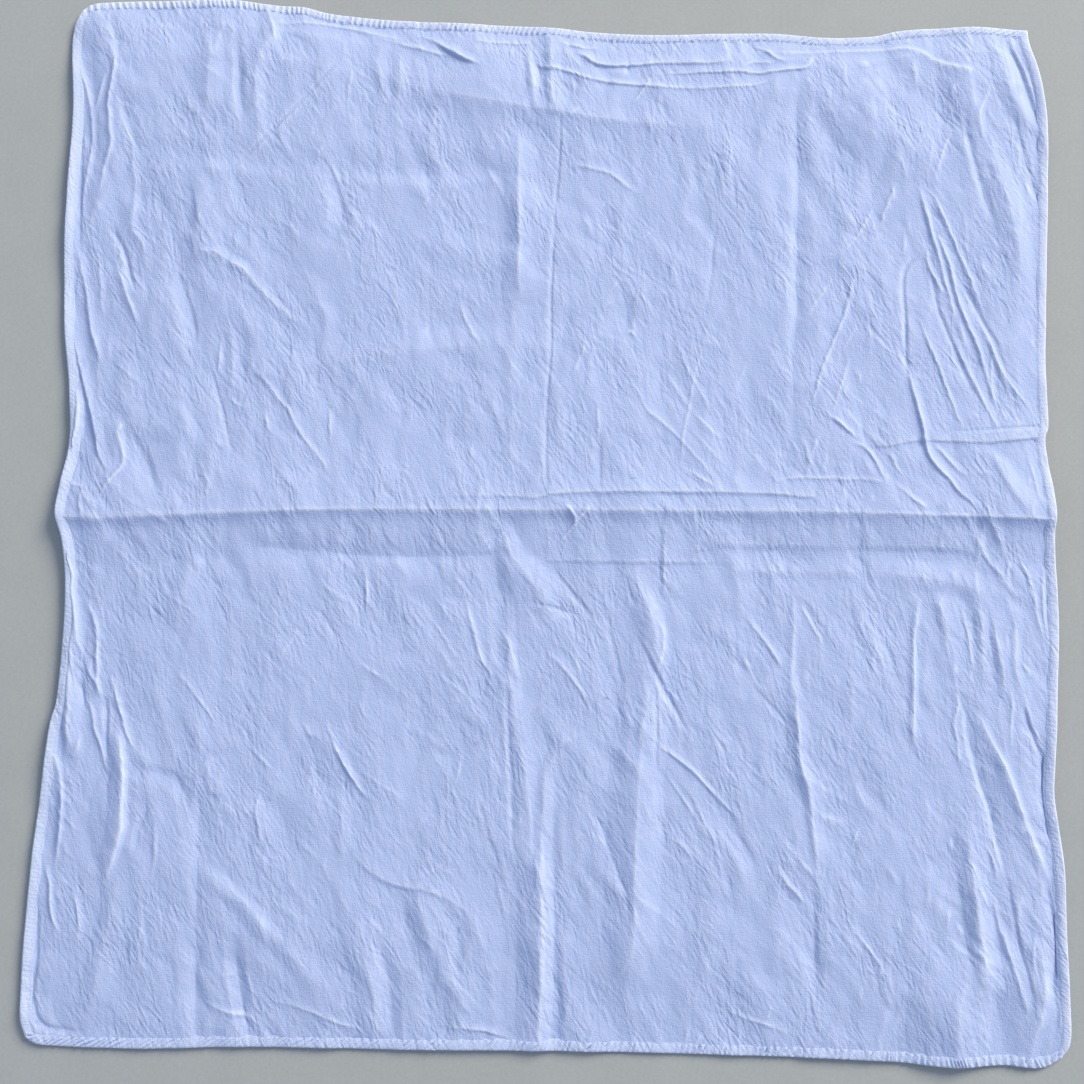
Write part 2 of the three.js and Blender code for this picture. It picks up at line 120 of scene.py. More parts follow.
# Creases. Ones running away list their left and right flanks, ones running across list their near
# and far flanks: how far the cloth takes to come down on each side. A sharp crease is steepest at
# its crest, a tent has straight flanks and a swell is round. The line is x, y, height, and where
# no height is given the crease runs out.
AWAY, ACROSS = (1, 0)
CREASES = (
    # centre fold, its ledge and the pleat at the right
    (ACROSS, "tent", 24, 80, ((-262, -3, 2.2), (-238, -3.4, 2.3), (-200, -1.5, 2.3), (-150, 0, 2.3),
        (-110, 1, 2.3), (-50, 0.8, 2.3), (0, 1, 2.2), (60, 0.8, 2.1), (145, 0, 2.1),
        (200, -1.4, 2.1), (250, -3, 2.4), (275, -5, 2.6))),
    (ACROSS, "sharp", 8, 36, ((-262, -3, 1.5), (-238, -3.4, 1.4), (-200, -1.5, 1.3), (-150, 0, 1.2),
        (-110, 1, 1.2), (-50, 0.8, 1.2), (0, 1, 1.2), (60, 0.8, 1.2), (145, 0, 1.2),
        (200, -1.4, 1.2), (250, -3, 1.4), (275, -5, 1.6))),
    (ACROSS, "sharp", 1.4, 2.5, ((-262, -3, 0.15), (-200, -1.5, 0.12), (-110, 1, 0.12), (0, 1, 0.1),
        (145, 0, 0.1), (275, -5, 0.2))),
    (ACROSS, "sharp", 1.4, 9, ((-58, 8), (-40, 7.8, 0.3), (-25, 7.5, 0.4), (-10, 6.6, 0.4),
        (-4, 6, 0.4), (2, 7.8, 0.5), (10, 9.2, 0.6), (60, 9.8, 0.65), (120, 9, 0.65),
        (143, 7.6, 0.5), (148, 8))),
    (ACROSS, "tent", 1.6, 24, ((-58, 8), (-40, 7.6, 0.1), (0, 7.6, 0.2), (10, 9.2, 0.4),
        (60, 9.8, 0.45), (120, 9, 0.4), (143, 7.6, 0.3), (148, 8))),
    (ACROSS, "sharp", 1.3, 1.8, ((212, 42), (235, 43.8, -0.35), (255, 45.2, -0.5),
        (275, 46.6, -0.5))),
    (ACROSS, "tent", 1.1, 16, ((165, 37), (173, 35.8, 0.3), (187, 35.6, 0.5), (205, 39, 0.7),
        (240, 38, 0.8), (257, 39.2, 0.9), (273, 40.4, 1))),
    (ACROSS, "sharp", 2, 2, ((128, 16.5, 0.2), (140, 17, 0.5), (160, 17, 0.5), (178, 16.5, 0.4),
        (190, 12.5))),
    # pinch under the centre fold
    (AWAY, "sharp", 2, 1.6, ((16, -11), (18, -7, 0.9), (17, -2, 1.4), (14, 2, 0.8))),
    (AWAY, "sharp", 2, 2, ((9, -19), (13, -14, 0.8), (17, -9, 1.2), (21, -4, 0.9), (25, 1, 0.4))),
    # far left
    (AWAY, "sharp", 4, 2.5, ((-247, 175), (-245, 190, 1.1), (-240.5, 207, 1.1), (-242, 215, 1.3),
        (-243.5, 225, 1.4), (-243.5, 235, 1.5), (-242, 245, 1.4), (-241, 255, 0.8), (-242, 262))),
    (AWAY, "sharp", 2.5, 9, ((-236, 248), (-238.5, 256, -0.8), (-240.5, 268, -1),
        (-244.5, 280, -0.6))),
    (AWAY, "sharp", 3, 7, ((-225, 198), (-226.5, 204, -0.7), (-229.5, 212, -1), (-233.5, 222, -0.9),
        (-237, 234, -0.6), (-239.5, 246))),
    (AWAY, "sharp", 3, 2.5, ((-255.5, 172), (-255, 182, 0.7), (-253.5, 194, 1), (-252.5, 212, 1.1),
        (-254, 228, 1.1), (-257.5, 242, 1.1), (-261, 252, 0.8), (-264, 259))),
    (AWAY, "sharp", 2.5, 2.5, ((-253, 222), (-250, 231, 0.8), (-247, 242, 0.8), (-245, 252))),
    (AWAY, "sharp", 5, 2, ((-256, 135), (-257, 150, -0.8), (-258, 170, -1.2), (-258, 200, -1.1),
        (-258, 226))),
    (AWAY, "sharp", 3, 4, ((-241, 77), (-245, 90, 1.2), (-248, 98, 1.4), (-250, 108, 1.3),
        (-252, 120, 1.2), (-254, 130, 1.2), (-256, 140, 1), (-258, 152))),
    (AWAY, "sharp", 2.2, 3, ((-224, 121), (-228, 130, -1.2), (-232.5, 144, -1.2),
        (-237.5, 154, -0.8), (-240, 160))),
    (AWAY, "sharp", 4, 2.5, ((-221, 102), (-225, 110, 1), (-229, 120, 1.2), (-232, 130, 1),
        (-237, 142))),
    (AWAY, "sharp", 2.5, 2.5, ((-241, 106), (-244, 118, 0.6), (-245, 130, 0.7), (-248, 150))),
    (AWAY, "sharp", 4, 4, ((-219, 126), (-219, 140, 0.5), (-222, 150, 0.7), (-227, 158, 0.7),
        (-226, 172, 0.7), (-227, 190, 0.7), (-230, 204))),
    (AWAY, "sharp", 3.5, 9, ((-186, 145, 0.4), (-189, 156, 0.9), (-191, 166, 1), (-193, 178, 0.8),
        (-196, 192))),
    (ACROSS, "sharp", 9, 5, ((-192, 147.5), (-186, 144.5, 0.9), (-180, 143.5, 1.1),
        (-172, 138.5, 1.1), (-165, 134.5, 1.1), (-158, 126.5, 1), (-152, 120.5, 0.9),
        (-147, 114.5, 0.8), (-137, 107, 0.5), (-127, 102))),
    (AWAY, "tent", 14, 8, ((-189, 218), (-188.5, 228, 1.3), (-188.5, 240, 1.8), (-188.5, 260, 1.8),
        (-190, 276, 0.3))),
    (AWAY, "tent", 2.5, 4, ((-166, 220), (-168.5, 228, -0.8), (-170.5, 238, -1.1),
        (-171, 250, -1.1), (-172, 262, -0.7), (-172, 276))),
    (AWAY, "tent", 8, 5, ((-157, 208), (-159, 225, 0.9), (-160, 240, 1.3), (-159.5, 252, 1.4),
        (-157, 262, 1.3), (-151.5, 271, 1.4), (-152, 284, 1))),
    (AWAY, "sharp", 3, 3, ((-149, 266), (-151, 274, 0.9), (-156, 288, 0.7))),
    (AWAY, "tent", 7, 6, ((-120, 146), (-113, 158, -1.2), (-112, 172, -1.6), (-117, 188, -1.4),
        (-123, 202))),
    (AWAY, "sharp", 3, 2.5, ((-90, 147), (-99, 157, 0.4), (-108, 172, 0.5), (-115, 190, 0.5),
        (-121, 203))),
    (ACROSS, "sharp", 1.3, 1.3, ((-180, 184), (-160, 205, -0.7), (-140, 226, -0.7),
        (-117, 252, -0.5))),
    (ACROSS, "sharp", 2, 3, ((-150, 279, 0.3), (-128, 279, 0.6), (-100, 274, 0.7),
        (-80, 269, 0.4))),
    # far middle
    (ACROSS, "sharp", 18, 28, ((-152, 257), (-110, 249, 0.3), (-80, 243, 0.8), (-40, 234, 1.4),
        (0, 227, 1.9), (10, 224.5, 2), (35, 220.5, 1.9), (60, 218, 1.3), (90, 217, 0.5),
        (115, 216))),
    (ACROSS, "tent", 34, 12, ((-165, 74), (-140, 79, 0.9), (-110, 83, 1.2), (-70, 88, 1.4),
        (-35, 91, 1.4), (-5, 92, 1), (10, 92))),
    (ACROSS, "sharp", 2, 3, ((14, 195), (26, 193, 0.5), (38, 189, 0.7), (46, 183, 0.7), (55, 177))),
    (ACROSS, "swell", 8, 14, ((-134, 195), (-100, 192, -0.7), (-70, 190, -0.8), (-40, 192, -0.7),
        (-18, 196))),
    (ACROSS, "swell", 8, 13, ((-230, 203), (-205, 201, -0.5), (-175, 199.5, -0.6),
        (-150, 196.5, -0.6), (-134, 194, -0.3))),
    (ACROSS, "swell", 18, 12, ((-75, 151), (-50, 146, 0.7), (-20, 141, 0.6), (-10, 138))),
    (ACROSS, "sharp", 1.8, 6, ((-70, 272, 0.3), (-60, 268, 1), (-52, 262, 2), (-45, 258, 2.2),
        (-38, 255, 0.8), (-34, 254))),
    (ACROSS, "sharp", 2, 3, ((-95, 271, 0.3), (-75, 265, 0.7), (-60, 261, 0.7), (-50, 259))),
    (ACROSS, "sharp", 1.2, 4, ((-40, 269), (-30, 267.5, 0.6), (-12, 267, 0.6), (-5, 268))),
    (AWAY, "tent", 4, 6, ((7.5, 222), (6.5, 230, 1.2), (5, 240, 1.8), (5, 250, 1.8), (5, 262, 1.6),
        (5, 272, 0.9))),
    (AWAY, "tent", 3, 4, ((-2, 226), (-4, 236, 1.1), (-5, 248, 1.3), (-7, 258, 1), (-8, 268, 0.5))),
    (AWAY, "sharp", 3.5, 3, ((0, 229), (-2, 236, -0.8), (-2.5, 248, -0.9), (-5.5, 258, -0.9),
        (-6, 269, -0.5))),
    (ACROSS, "sharp", 1.6, 3.5, ((-8, 261), (-1, 252.5, 0.8), (11, 249.5, 0.9), (25, 245, 0.9),
        (41, 242.5, 1.1), (61, 240.5, 1), (80, 239, 0.6), (100, 239.5, 0.5), (120, 241, 0.6),
        (131, 246))),
    (ACROSS, "sharp", 1.4, 3, ((8, 268), (18, 265, 0.8), (27, 264, 0.5), (33, 265))),
    (ACROSS, "sharp", 1.5, 6, ((17, 261.5), (23, 259.5, 0.9), (27, 256.5, 1.4), (33, 253.5, 1.6),
        (41, 253, 1.8), (48, 253, 1.5), (65, 254.5, 1), (95, 254.5, 0.8), (107, 255.5))),
    (ACROSS, "tent", 5, 3, ((36, 250), (44, 249.5, 0.8), (50, 248))),
    (AWAY, "sharp", 1.5, 1.5, ((48, 247), (48, 251, -0.9), (49, 254, -0.6), (50, 257))),
    (ACROSS, "sharp", 1.3, 4, ((66, 248), (85, 248.5, 0.7), (110, 249, 1), (125, 248.5, 0.9),
        (138, 250.5, 1.1), (148, 252, 1.2), (152, 256, 0.9), (154, 262))),
    (AWAY, "sharp", 1.5, 2.5, ((50, 229), (53, 233, 0.7), (57, 239, 0.8), (63, 247))),
    (AWAY, "tent", 4, 5, ((-82, 216), (-81, 228, 0.7), (-79.5, 240, 1), (-80, 252, 1), (-80, 264))),
    (AWAY, "sharp", 12, 15, ((-10, 114), (-12, 121, 1.2), (-13, 130, 1.9), (-13, 145, 2.3),
        (-12.5, 160, 2.3), (-13, 180, 2.2), (-13, 203, 1.6), (-11, 216))),
    (AWAY, "tent", 5, 6, ((-14, 90), (-15, 104, 0.6), (-16, 117, 0.4))),
    (AWAY, "sharp", 1.3, 1.3, ((3, 8, -0.3), (2.5, 30, -0.6), (3, 55, -0.6), (4, 70, -0.7),
        (5, 90, -0.6), (5.5, 110, -0.7), (6.5, 140, -0.7), (8, 160, -0.4), (10, 190, -0.6),
        (10.5, 210, -0.7), (10, 227))),
    (AWAY, "swell", 5, 5, ((103, 170), (102, 185, 0.6), (104, 200, 0.7), (103, 214))),
    (AWAY, "sharp", 2, 2, ((90, 103), (91, 115, -0.3), (94, 130, -0.4), (96, 148, -0.5),
        (98, 166))),
    (AWAY, "sharp", 2.5, 2, ((-32, 90), (-38, 98, 0.7), (-43, 108, 0.8), (-47, 119))),
    (AWAY, "sharp", 2.5, 2.5, ((-59, 88), (-61, 100, -0.5), (-62, 126))),
    (AWAY, "tent", 13, 4, ((44, 94), (46, 102, -1), (47, 110, -1.2), (46, 118, -0.7), (40, 124))),
    (AWAY, "sharp", 2, 2, ((46, 96), (47, 99, 0.7), (50, 98, 0.6), (52, 96))),
    # far right
    (ACROSS, "sharp", 3, 1.6, ((118, 262), (150, 262, 0.5), (190, 263, 0.6), (204, 264, 0.6),
        (214, 261))),
    (ACROSS, "sharp", 10, 2.5, ((205, 265), (212, 262.5, 0.8), (217, 259, 1.1), (222, 255, 1.2),
        (228, 252, 1.2), (239, 249.5, 0.9), (243, 248))),
    (ACROSS, "sharp", 1.5, 2.5, ((117, 267), (126, 263, 0.8), (133, 258, 0.9), (138, 256))),
    (ACROSS, "sharp", 1.5, 2.5, ((112, 252), (119, 255, 0.6), (126, 255, 0.5), (135, 256))),
    (AWAY, "tent", 24, 25, ((220, 183), (211, 197, 1.9), (201, 209, 2.8), (190, 217.5, 3.3),
        (180, 227, 3.4), (175, 236, 3.3), (170, 247, 2.6), (169.5, 263, 1.2))),
    (AWAY, "sharp", 1.3, 1.3, ((207, 217), (192, 233, -0.3), (174, 257))),
    (AWAY, "sharp", 2.5, 2.5, ((219, 183), (221, 195, 0.8), (225, 205, 0.8), (229, 214))),
    (AWAY, "tent", 17, 18, ((244, 206, 0.5), (243, 220, 1.7), (241, 233, 2.7), (240, 244, 3.2),
        (239.5, 256, 3.2), (240, 271, 1.8))),
    (AWAY, "sharp", 3, 4, ((251, 158), (247, 172, -0.9), (243, 188, -1), (240, 202, -1),
        (238, 214, -0.9), (237, 227))),
    (AWAY, "sharp", 3, 3, ((247, 203), (246, 214, 0.7), (245, 223, 0.8), (248, 231, 0.7),
        (253, 241))),
    (AWAY, "tent", 6, 6, ((277, 211), (272, 221, 0.8), (266, 231, 1.2), (261, 242, 1.4),
        (258, 255, 1.3), (256, 271, 0.6))),
    (AWAY, "sharp", 6, 3, ((277, 216), (276, 228, -1), (273, 240, -1.4), (270, 250, -1.6),
        (266, 260, -1.4), (262, 270))),
    (AWAY, "sharp", 2, 2, ((278, 220), (277, 232, 0.5), (273.5, 245, 0.8), (269, 258, 0.6),
        (264.5, 270))),
    (AWAY, "sharp", 5, 3, ((276, 170), (273, 185, -0.9), (270, 198, -1), (267, 212, -0.9),
        (265, 227))),
    (AWAY, "tent", 9, 9, ((264, 118, 0.3), (264, 135, 1.3), (262.5, 150, 2), (259.5, 168, 2.5),
        (255.5, 185, 2.3), (250, 202, 0.4))),
    (AWAY, "sharp", 2.4, 2.2, ((245, 108), (240, 119, 0.9), (236, 129, 1.1), (232, 141, 1.1),
        (228, 152, 1.1), (224, 163, 1), (220, 172, 0.8), (217, 180))),
    (AWAY, "sharp", 1.8, 2.2, ((251, 86), (246, 98, -0.8), (241, 109, -0.9), (236, 118, -0.8),
        (231, 128))),
    (AWAY, "sharp", 1.6, 3, ((250, 48), (247, 58, 0.7), (244, 70, 1), (240, 86, 1.2),
        (236.5, 97, 1.3), (233, 106, 1.4), (230, 115, 1.4), (227.5, 126, 1.3), (225.5, 136, 1.2),
        (222.5, 146, 1), (218, 159))),
    (AWAY, "sharp", 2.2, 2, ((211, 181), (213.5, 168, 0.8), (216, 155, 1), (219, 141, 1),
        (222, 128, 1), (225.5, 115, 0.8), (228.5, 104))),
    (AWAY, "sharp", 1.6, 2, ((238, 60), (234, 70, -0.6), (228, 87, -0.8), (224, 97, -0.9),
        (220, 108, -0.9), (217, 122, -0.8), (214, 137))),
    (AWAY, "sharp", 1.6, 2.2, ((219, 142), (217, 152, 0.7), (214.5, 163, 0.8), (212, 174, 0.8),
        (210, 184))),
    (AWAY, "sharp", 1.6, 1.8, ((209, 142), (203, 136, -0.8), (200, 128, -0.5), (199, 120))),
    (AWAY, "sharp", 1.6, 2, ((222, 118), (219, 126, 0.9), (214, 136, 0.9), (213, 146))),
    (AWAY, "sharp", 1.6, 2.4, ((200, 76, -0.5), (199.5, 90, -1.2), (199.5, 105, -1.2),
        (199.5, 120, -1), (201, 132, -0.5), (205, 140))),
    (AWAY, "sharp", 2, 3, ((187, 156), (190, 166, 0.7), (194, 176, 0.8), (197, 185))),
    (AWAY, "sharp", 2, 2, ((164, 140), (172, 150, 0.5), (178, 158, 0.7), (185, 171))),
    (AWAY, "sharp", 2, 4, ((147, 56), (150, 66, 0.9), (152, 74, 1), (156, 84, 1), (161, 96, 1.1),
        (166, 108, 1.1), (170, 122, 0.8), (174, 132))),
    (AWAY, "sharp", 2, 2, ((144, 104), (150, 113, 0.3), (157, 123, 0.4), (164, 134))),
    (AWAY, "sharp", 6, 10, ((137.5, 38, -0.3), (137.5, 60, -0.7), (138, 80, -0.8),
        (139.5, 98, -1.2), (141, 112, -1.5), (141.5, 130, -1.5), (142.5, 150, -1.3),
        (143.5, 170, -1.2), (143.5, 190, -1.4), (143.5, 210, -1.3), (144, 232, -0.9), (145, 246))),
    # right of the middle, by the pleat
    (AWAY, "sharp", 1.7, 4, ((238, -2), (230, 5, 0.8), (224, 11, 1.1), (219, 18, 1.3),
        (214, 24, 1.5), (210.5, 30, 1.7), (208, 38, 1.8), (207, 44, 1.8), (206, 52, 1.8),
        (204, 62, 1.5), (202, 72, 0.9), (200, 79))),
    (AWAY, "sharp", 2, 2, ((230, 17), (224, 24, 0.8), (218, 31, 0.9), (212, 38))),
    (AWAY, "tent", 3, 9, ((262, -1, 0.4), (254, 12, 1.1), (248, 24, 1), (242, 35))),
    (AWAY, "sharp", 2, 3, ((270, 0), (268, 8, 0.5), (266, 20, 0.6), (262, 37))),
    (AWAY, "sharp", 1.6, 2.2, ((230, 42), (226, 52, 0.6), (222, 63, 0.9), (219, 73, 1),
        (216, 83, 1), (212, 93, 0.9), (208, 105))),
    (AWAY, "sharp", 1.5, 2.4, ((249, 42), (245, 51, 0.7), (240, 61, 0.9), (236, 70, 0.9),
        (232, 79, 0.9), (228, 88, 0.8), (224, 98))),
    (AWAY, "sharp", 2.2, 2.4, ((266, 56), (261, 63, 0.6), (256, 70, 0.9), (250, 80, 1.1),
        (246, 90, 1.1), (243, 101))),
    (AWAY, "sharp", 1.6, 2, ((246, 58), (246, 70, 0.7), (246, 80, 0.8), (247, 90))),
    (AWAY, "sharp", 1.6, 2, ((257, 57), (254, 67, 0.7), (250, 78, 0.6), (247, 86))),
    (ACROSS, "sharp", 1.6, 2.5, ((155, 54), (161, 48, 1), (167, 43, 1.1), (172, 39))),
    (AWAY, "sharp", 2.5, 3, ((158, 52), (162, 64, 0.7), (166, 76, 0.7), (169, 85))),
    (AWAY, "sharp", 1.8, 2.6, ((186, 15), (183, 22, 0.9), (181, 27, 1.1), (177, 33, 1), (169, 38))),
    (AWAY, "sharp", 1.6, 2, ((197, 17), (193, 22, 0.6), (190, 28, 0.7), (185, 33))),
    (AWAY, "sharp", 2, 2, ((144, 18), (145, 25, 0.7), (144, 32, 0.7), (141, 42))),
    (AWAY, "sharp", 2, 2, ((145, 25), (147, 34, 0.6), (151, 43))),
    (AWAY, "sharp", 2, 3, ((211, 0), (203, 4, 0.7), (196, 10, 0.7), (189, 17))),
    (AWAY, "sharp", 3, 6, ((257, -44), (252, -30, 0.6), (248, -20, 1), (243, -10, 1.1),
        (239, -2, 0.5))),
    (AWAY, "sharp", 4, 3, ((253, -50), (248, -36, 0.8), (241, -27, 0.9), (235, -16, 0.8),
        (229, -3, 0.3))),
    (AWAY, "sharp", 2.5, 2.5, ((271, -77), (267, -60, 0.7), (264, -45, 0.8), (261, -34, 0.7),
        (256, -24))),
    (AWAY, "sharp", 2, 2, ((272, -76), (270, -60, 0.8), (269, -45, 0.9), (271, -28))),
    (ACROSS, "tent", 11, 3, ((92, -21.5, -0.5), (120, -22, -0.7), (160, -22.5, -0.5),
        (187, -22.5, -0.7), (215, -23, -0.8), (240, -26))),
    (ACROSS, "tent", 4, 8, ((95, -30), (110, -32, 0.5), (140, -33, 0.5), (170, -33, 0.4),
        (185, -34))),
    (ACROSS, "tent", 7, 8, ((178, -32), (195, -35, 0.8), (215, -38, 1), (235, -43, 0.9),
        (248, -48))),
    (AWAY, "sharp", 4, 3, ((198, -129), (197, -118, 1.2), (197.5, -105, 1.6), (198, -90, 1.6),
        (198, -72, 1.6), (200, -60, 1.2), (203, -46))),
    (AWAY, "tent", 4, 4, ((236, -98), (235, -82, 1.1), (235.5, -66, 1.4), (235, -50, 0.9),
        (233, -42))),
    (AWAY, "tent", 3, 5, ((247, -106), (245.5, -88, 1.2), (243, -70, 1.3), (240, -54, 0.8),
        (238, -44))),
    (AWAY, "sharp", 3, 4, ((228, -94), (229, -80, 0.9), (227, -64, 0.9), (224, -50))),
    (AWAY, "tent", 3, 3, ((255, -98), (252.5, -84, 1), (253, -70, 1), (256, -57))),
    (AWAY, "tent", 3, 5, ((218, -82), (216, -66, 0.9), (213.5, -53, 0.9), (210, -44))),
    (AWAY, "tent", 4, 4, ((184, -92), (181, -80, 0.7), (176, -66, 0.7), (171, -50))),
    (AWAY, "sharp", 5, 4, ((133.5, -98, 0.5), (133.5, -90, 0.8), (134.5, -75, 0.9), (135, -54, 0.7),
        (135.5, -40, 0.4), (136, -28))),
    (AWAY, "sharp", 2, 2.5, ((129, -86), (124, -78, 0.9), (119, -70, 0.8), (113, -62, 0.6),
        (106, -50))),
    (AWAY, "sharp", 2, 2, ((151, -76), (147, -66, 0.6), (141, -55, 0.7), (135, -43))),
    # near right
    (AWAY, "sharp", 2, 2, ((220, -139), (221, -128, 0.7), (219, -115, 0.8), (221, -104, 0.8),
        (220, -94))),
    (AWAY, "sharp", 2.5, 9, ((243, -194), (242, -186, -1), (239, -172, -1.4), (236, -158, -1.5),
        (232, -145, -1.5), (229, -130, -1.4), (226, -118, -1.3), (224, -108, -1), (220, -96))),
    (AWAY, "sharp", 8, 3, ((270, -204, 0.2), (262, -185, 1.3), (256, -170, 1.5), (250, -155, 1.8),
        (246, -142, 1.9), (240, -128, 1.6), (234, -115, 1.1), (229, -106))),
    (AWAY, "sharp", 3, 2, ((271, -196), (270.5, -188, -0.4), (268.5, -172, -0.7),
        (265.5, -158, -0.8), (265, -145, -0.8), (265, -133, -0.9), (262.5, -126, -1),
        (259, -116, -1.1), (256.5, -105, -0.8), (254, -94))),
    (AWAY, "sharp", 4, 2, ((266, -277), (267, -265, -0.8), (266, -250, -1), (268, -235, -1.1),
        (268.5, -222, -1.1), (267, -210, -1), (265, -197))),
    (AWAY, "sharp", 2, 3, ((263, -124), (260, -114, 0.8), (257, -105, 0.9), (254, -94))),
    (AWAY, "sharp", 2, 2, ((249, -133), (249, -120, 0.6), (250, -105, 0.7), (249, -93))),
    (AWAY, "tent", 7, 9, ((230.5, -258), (231, -246, 1.4), (230.5, -236, 2.7), (229, -222, 3.1),
        (227.5, -208, 3.2), (226, -196, 3), (225, -184, 1.8), (224, -170, 0.9), (223.5, -158))),
    (AWAY, "tent", 8, 9, ((240, -283, -0.5), (237.5, -262, -1.3), (236.5, -240, -1.4),
        (237, -215, -1), (236.5, -196))),
    (AWAY, "sharp", 2.5, 3, ((252.5, -264), (249.5, -255, 0.8), (245.5, -241, 1), (241.5, -228, 1),
        (238.5, -218, 1), (236.5, -207, 0.8), (235.5, -196))),
    (AWAY, "sharp", 5, 2, ((256, -265), (254, -252, -1), (251, -238, -1.1), (247.5, -222, -1.1),
        (245, -205, -1), (243, -188))),
    (AWAY, "tent", 13, 4, ((253, -286, 0.8), (255, -274, 1.8), (259, -264, 2), (261, -252, 1.9),
        (261, -240, 1.6), (261, -224))),
    (AWAY, "sharp", 2, 2, ((257, -247), (256, -235, 0.8), (258, -221))),
    (AWAY, "tent", 26, 18, ((215, -284, 3.6), (215.5, -268, 4.4), (217, -256, 4.2),
        (222, -247, 3.2), (229, -240, 1.7), (233, -236))),
    (AWAY, "swell", 13, 13, ((162, -266), (180, -243, 0.9), (197, -222, 1.4), (212, -206, 1.4),
        (225, -188))),
    (AWAY, "sharp", 5, 8, ((145, -200, 0.4), (143, -170, 1.4), (141, -150, 1.7), (137, -135, 1.9),
        (135.5, -115, 1.7), (135, -94, 0.8))),
    (ACROSS, "tent", 9, 2, ((144, -162), (150, -163.5, 0.8), (157, -165, 0.5), (163, -167))),
    (AWAY, "sharp", 10, 5, ((143.5, -258), (143, -242, -1.3), (142.5, -225, -1.5),
        (142, -206, -0.8), (143, -192))),
    (ACROSS, "sharp", 1.5, 1.8, ((117, -163), (128, -176, 0.4), (140, -190, 0.45), (152, -207))),
    (AWAY, "sharp", 3, 1.6, ((139, -209), (134, -203, 0.8), (129, -197, 0.9), (123, -188))),
    (AWAY, "sharp", 1.6, 1.8, ((182, -248), (175, -237, 0.7), (167, -226, 0.6), (157, -213))),
    (AWAY, "sharp", 2, 2, ((137, -119), (127, -110, -0.5), (119, -101, -0.5), (110, -93))),
    (ACROSS, "sharp", 2, 2, ((92, -260), (105, -265, 0.5), (120, -270, 0.5), (131, -275))),
    # near middle
    (AWAY, "tent", 12, 6, ((-2, -279, 2.3), (-1, -260, 3.3), (0, -245, 3.5), (0.5, -220, 3.4),
        (0, -197, 2.7), (-4, -182, 2), (-6, -160, 1.9), (-9, -135, 1.7), (-13, -112, 1.4),
        (-17, -90, 0.7), (-20, -78))),
    (AWAY, "tent", 4, 5, ((-0.5, -202), (0, -186, 1.5), (0, -165, 1.9), (0.5, -150, 1.4),
        (1, -137))),
    (AWAY, "tent", 5, 3, ((8, -277, -0.4), (7.5, -266, -0.9), (7.5, -250, -0.8), (7, -220, -0.4),
        (7, -180, -0.4), (7, -150, -0.3), (6, -130))),
    (AWAY, "sharp", 2, 5, ((-12, -192), (-15, -175, -0.7), (-15.5, -150, -0.8), (-17, -125, -0.9),
        (-18, -100, -0.7), (-19, -88))),
    (AWAY, "tent", 5, 4, ((-17, -110), (-18, -95, 0.8), (-17.5, -75, 1), (-18, -55, 0.9),
        (-19, -44))),
    (AWAY, "tent", 15, 13, ((33, -256), (41, -243, 1.6), (47, -230, 2.6), (48.5, -205, 3.1),
        (49, -182, 3.2), (50.5, -160, 3.5), (51, -145, 3.7), (52.5, -125, 3.3), (55, -105, 2.3),
        (53, -86, 0.8))),
    (AWAY, "sharp", 1.5, 1.5, ((61, -142), (60.5, -125, -0.6), (60.5, -105, -0.7), (59, -88))),
    (AWAY, "sharp", 2, 2, ((48, -222), (45, -205, -0.4), (40, -192, -0.5), (35, -180, -0.5),
        (30, -165, -0.5), (24, -149))),
    (AWAY, "sharp", 2.8, 2.5, ((79, -122), (74, -112, -0.8), (68, -101, -1.1), (62, -90, -1.1),
        (56, -78, -0.7), (50, -67))),
    (ACROSS, "sharp", 2, 2.4, ((59, -123), (70, -131, 0.9), (80, -139, 1), (90, -150, 0.9),
        (98, -158, 0.5), (106, -166))),
    (AWAY, "sharp", 1.6, 2, ((88, -174), (80, -162, 0.5), (72, -150, 0.6), (61, -133))),
    (AWAY, "sharp", 1.6, 1.6, ((96, -195), (92, -180, 0.4), (84, -162, 0.5), (74, -143))),
    (ACROSS, "sharp", 1.6, 2, ((64, -170), (75, -179, 0.6), (84, -190))),
    (ACROSS, "sharp", 3, 9, ((-118, -171), (-100, -183, 0.3), (-85, -194, 0.7), (-72, -199, 0.8),
        (-60, -200.5, 0.8), (-48, -206, 0.5), (-36, -213))),
    (AWAY, "tent", 9, 12, ((-37, -264), (-44, -252, 1.1), (-53, -239, 1.8), (-59, -223, 2.1),
        (-63.5, -208, 1.7), (-65, -200, 0.7))),
    (AWAY, "tent", 7, 6, ((-78, -277, -0.5), (-79, -265, -1.2), (-80, -250, -1.2), (-83, -228))),
    (AWAY, "tent", 9, 8, ((-86, -270, 0.8), (-88, -250, 1.3), (-92, -235, 1.1), (-99, -213))),
    (ACROSS, "sharp", 1.6, 4, ((-54, -270), (-35, -271, 0.8), (-25, -273, 0.9), (-15, -277))),
    (AWAY, "sharp", 2.2, 2, ((-22, -190), (-26, -178, -0.5), (-30, -165, -0.6), (-34, -149))),
    (AWAY, "sharp", 3, 2.5, ((-26, -90), (-31, -82, 0.9), (-34.5, -73, 1.1), (-37, -63, 1.1),
        (-39.5, -54, 0.6), (-41, -46))),
    # below the centre fold
    (AWAY, "tent", 15, 9, ((6, -56), (3, -49, 1.1), (-2, -41, 1.9), (-11, -31, 2.3),
        (-20, -20, 1.8), (-25, -13))),
    (AWAY, "tent", 8, 7, ((-18, -110), (-19, -90, -0.6), (-19.5, -70, -0.9), (-21, -54, -1.2),
        (-24, -40, -1.4), (-26, -26, -1.4), (-27, -16, -0.8), (-28, -8))),
    (AWAY, "sharp", 8, 3, ((-12, -100, 0.4), (-14, -85, 0.9), (-18, -72, 0.8), (-24, -58))),
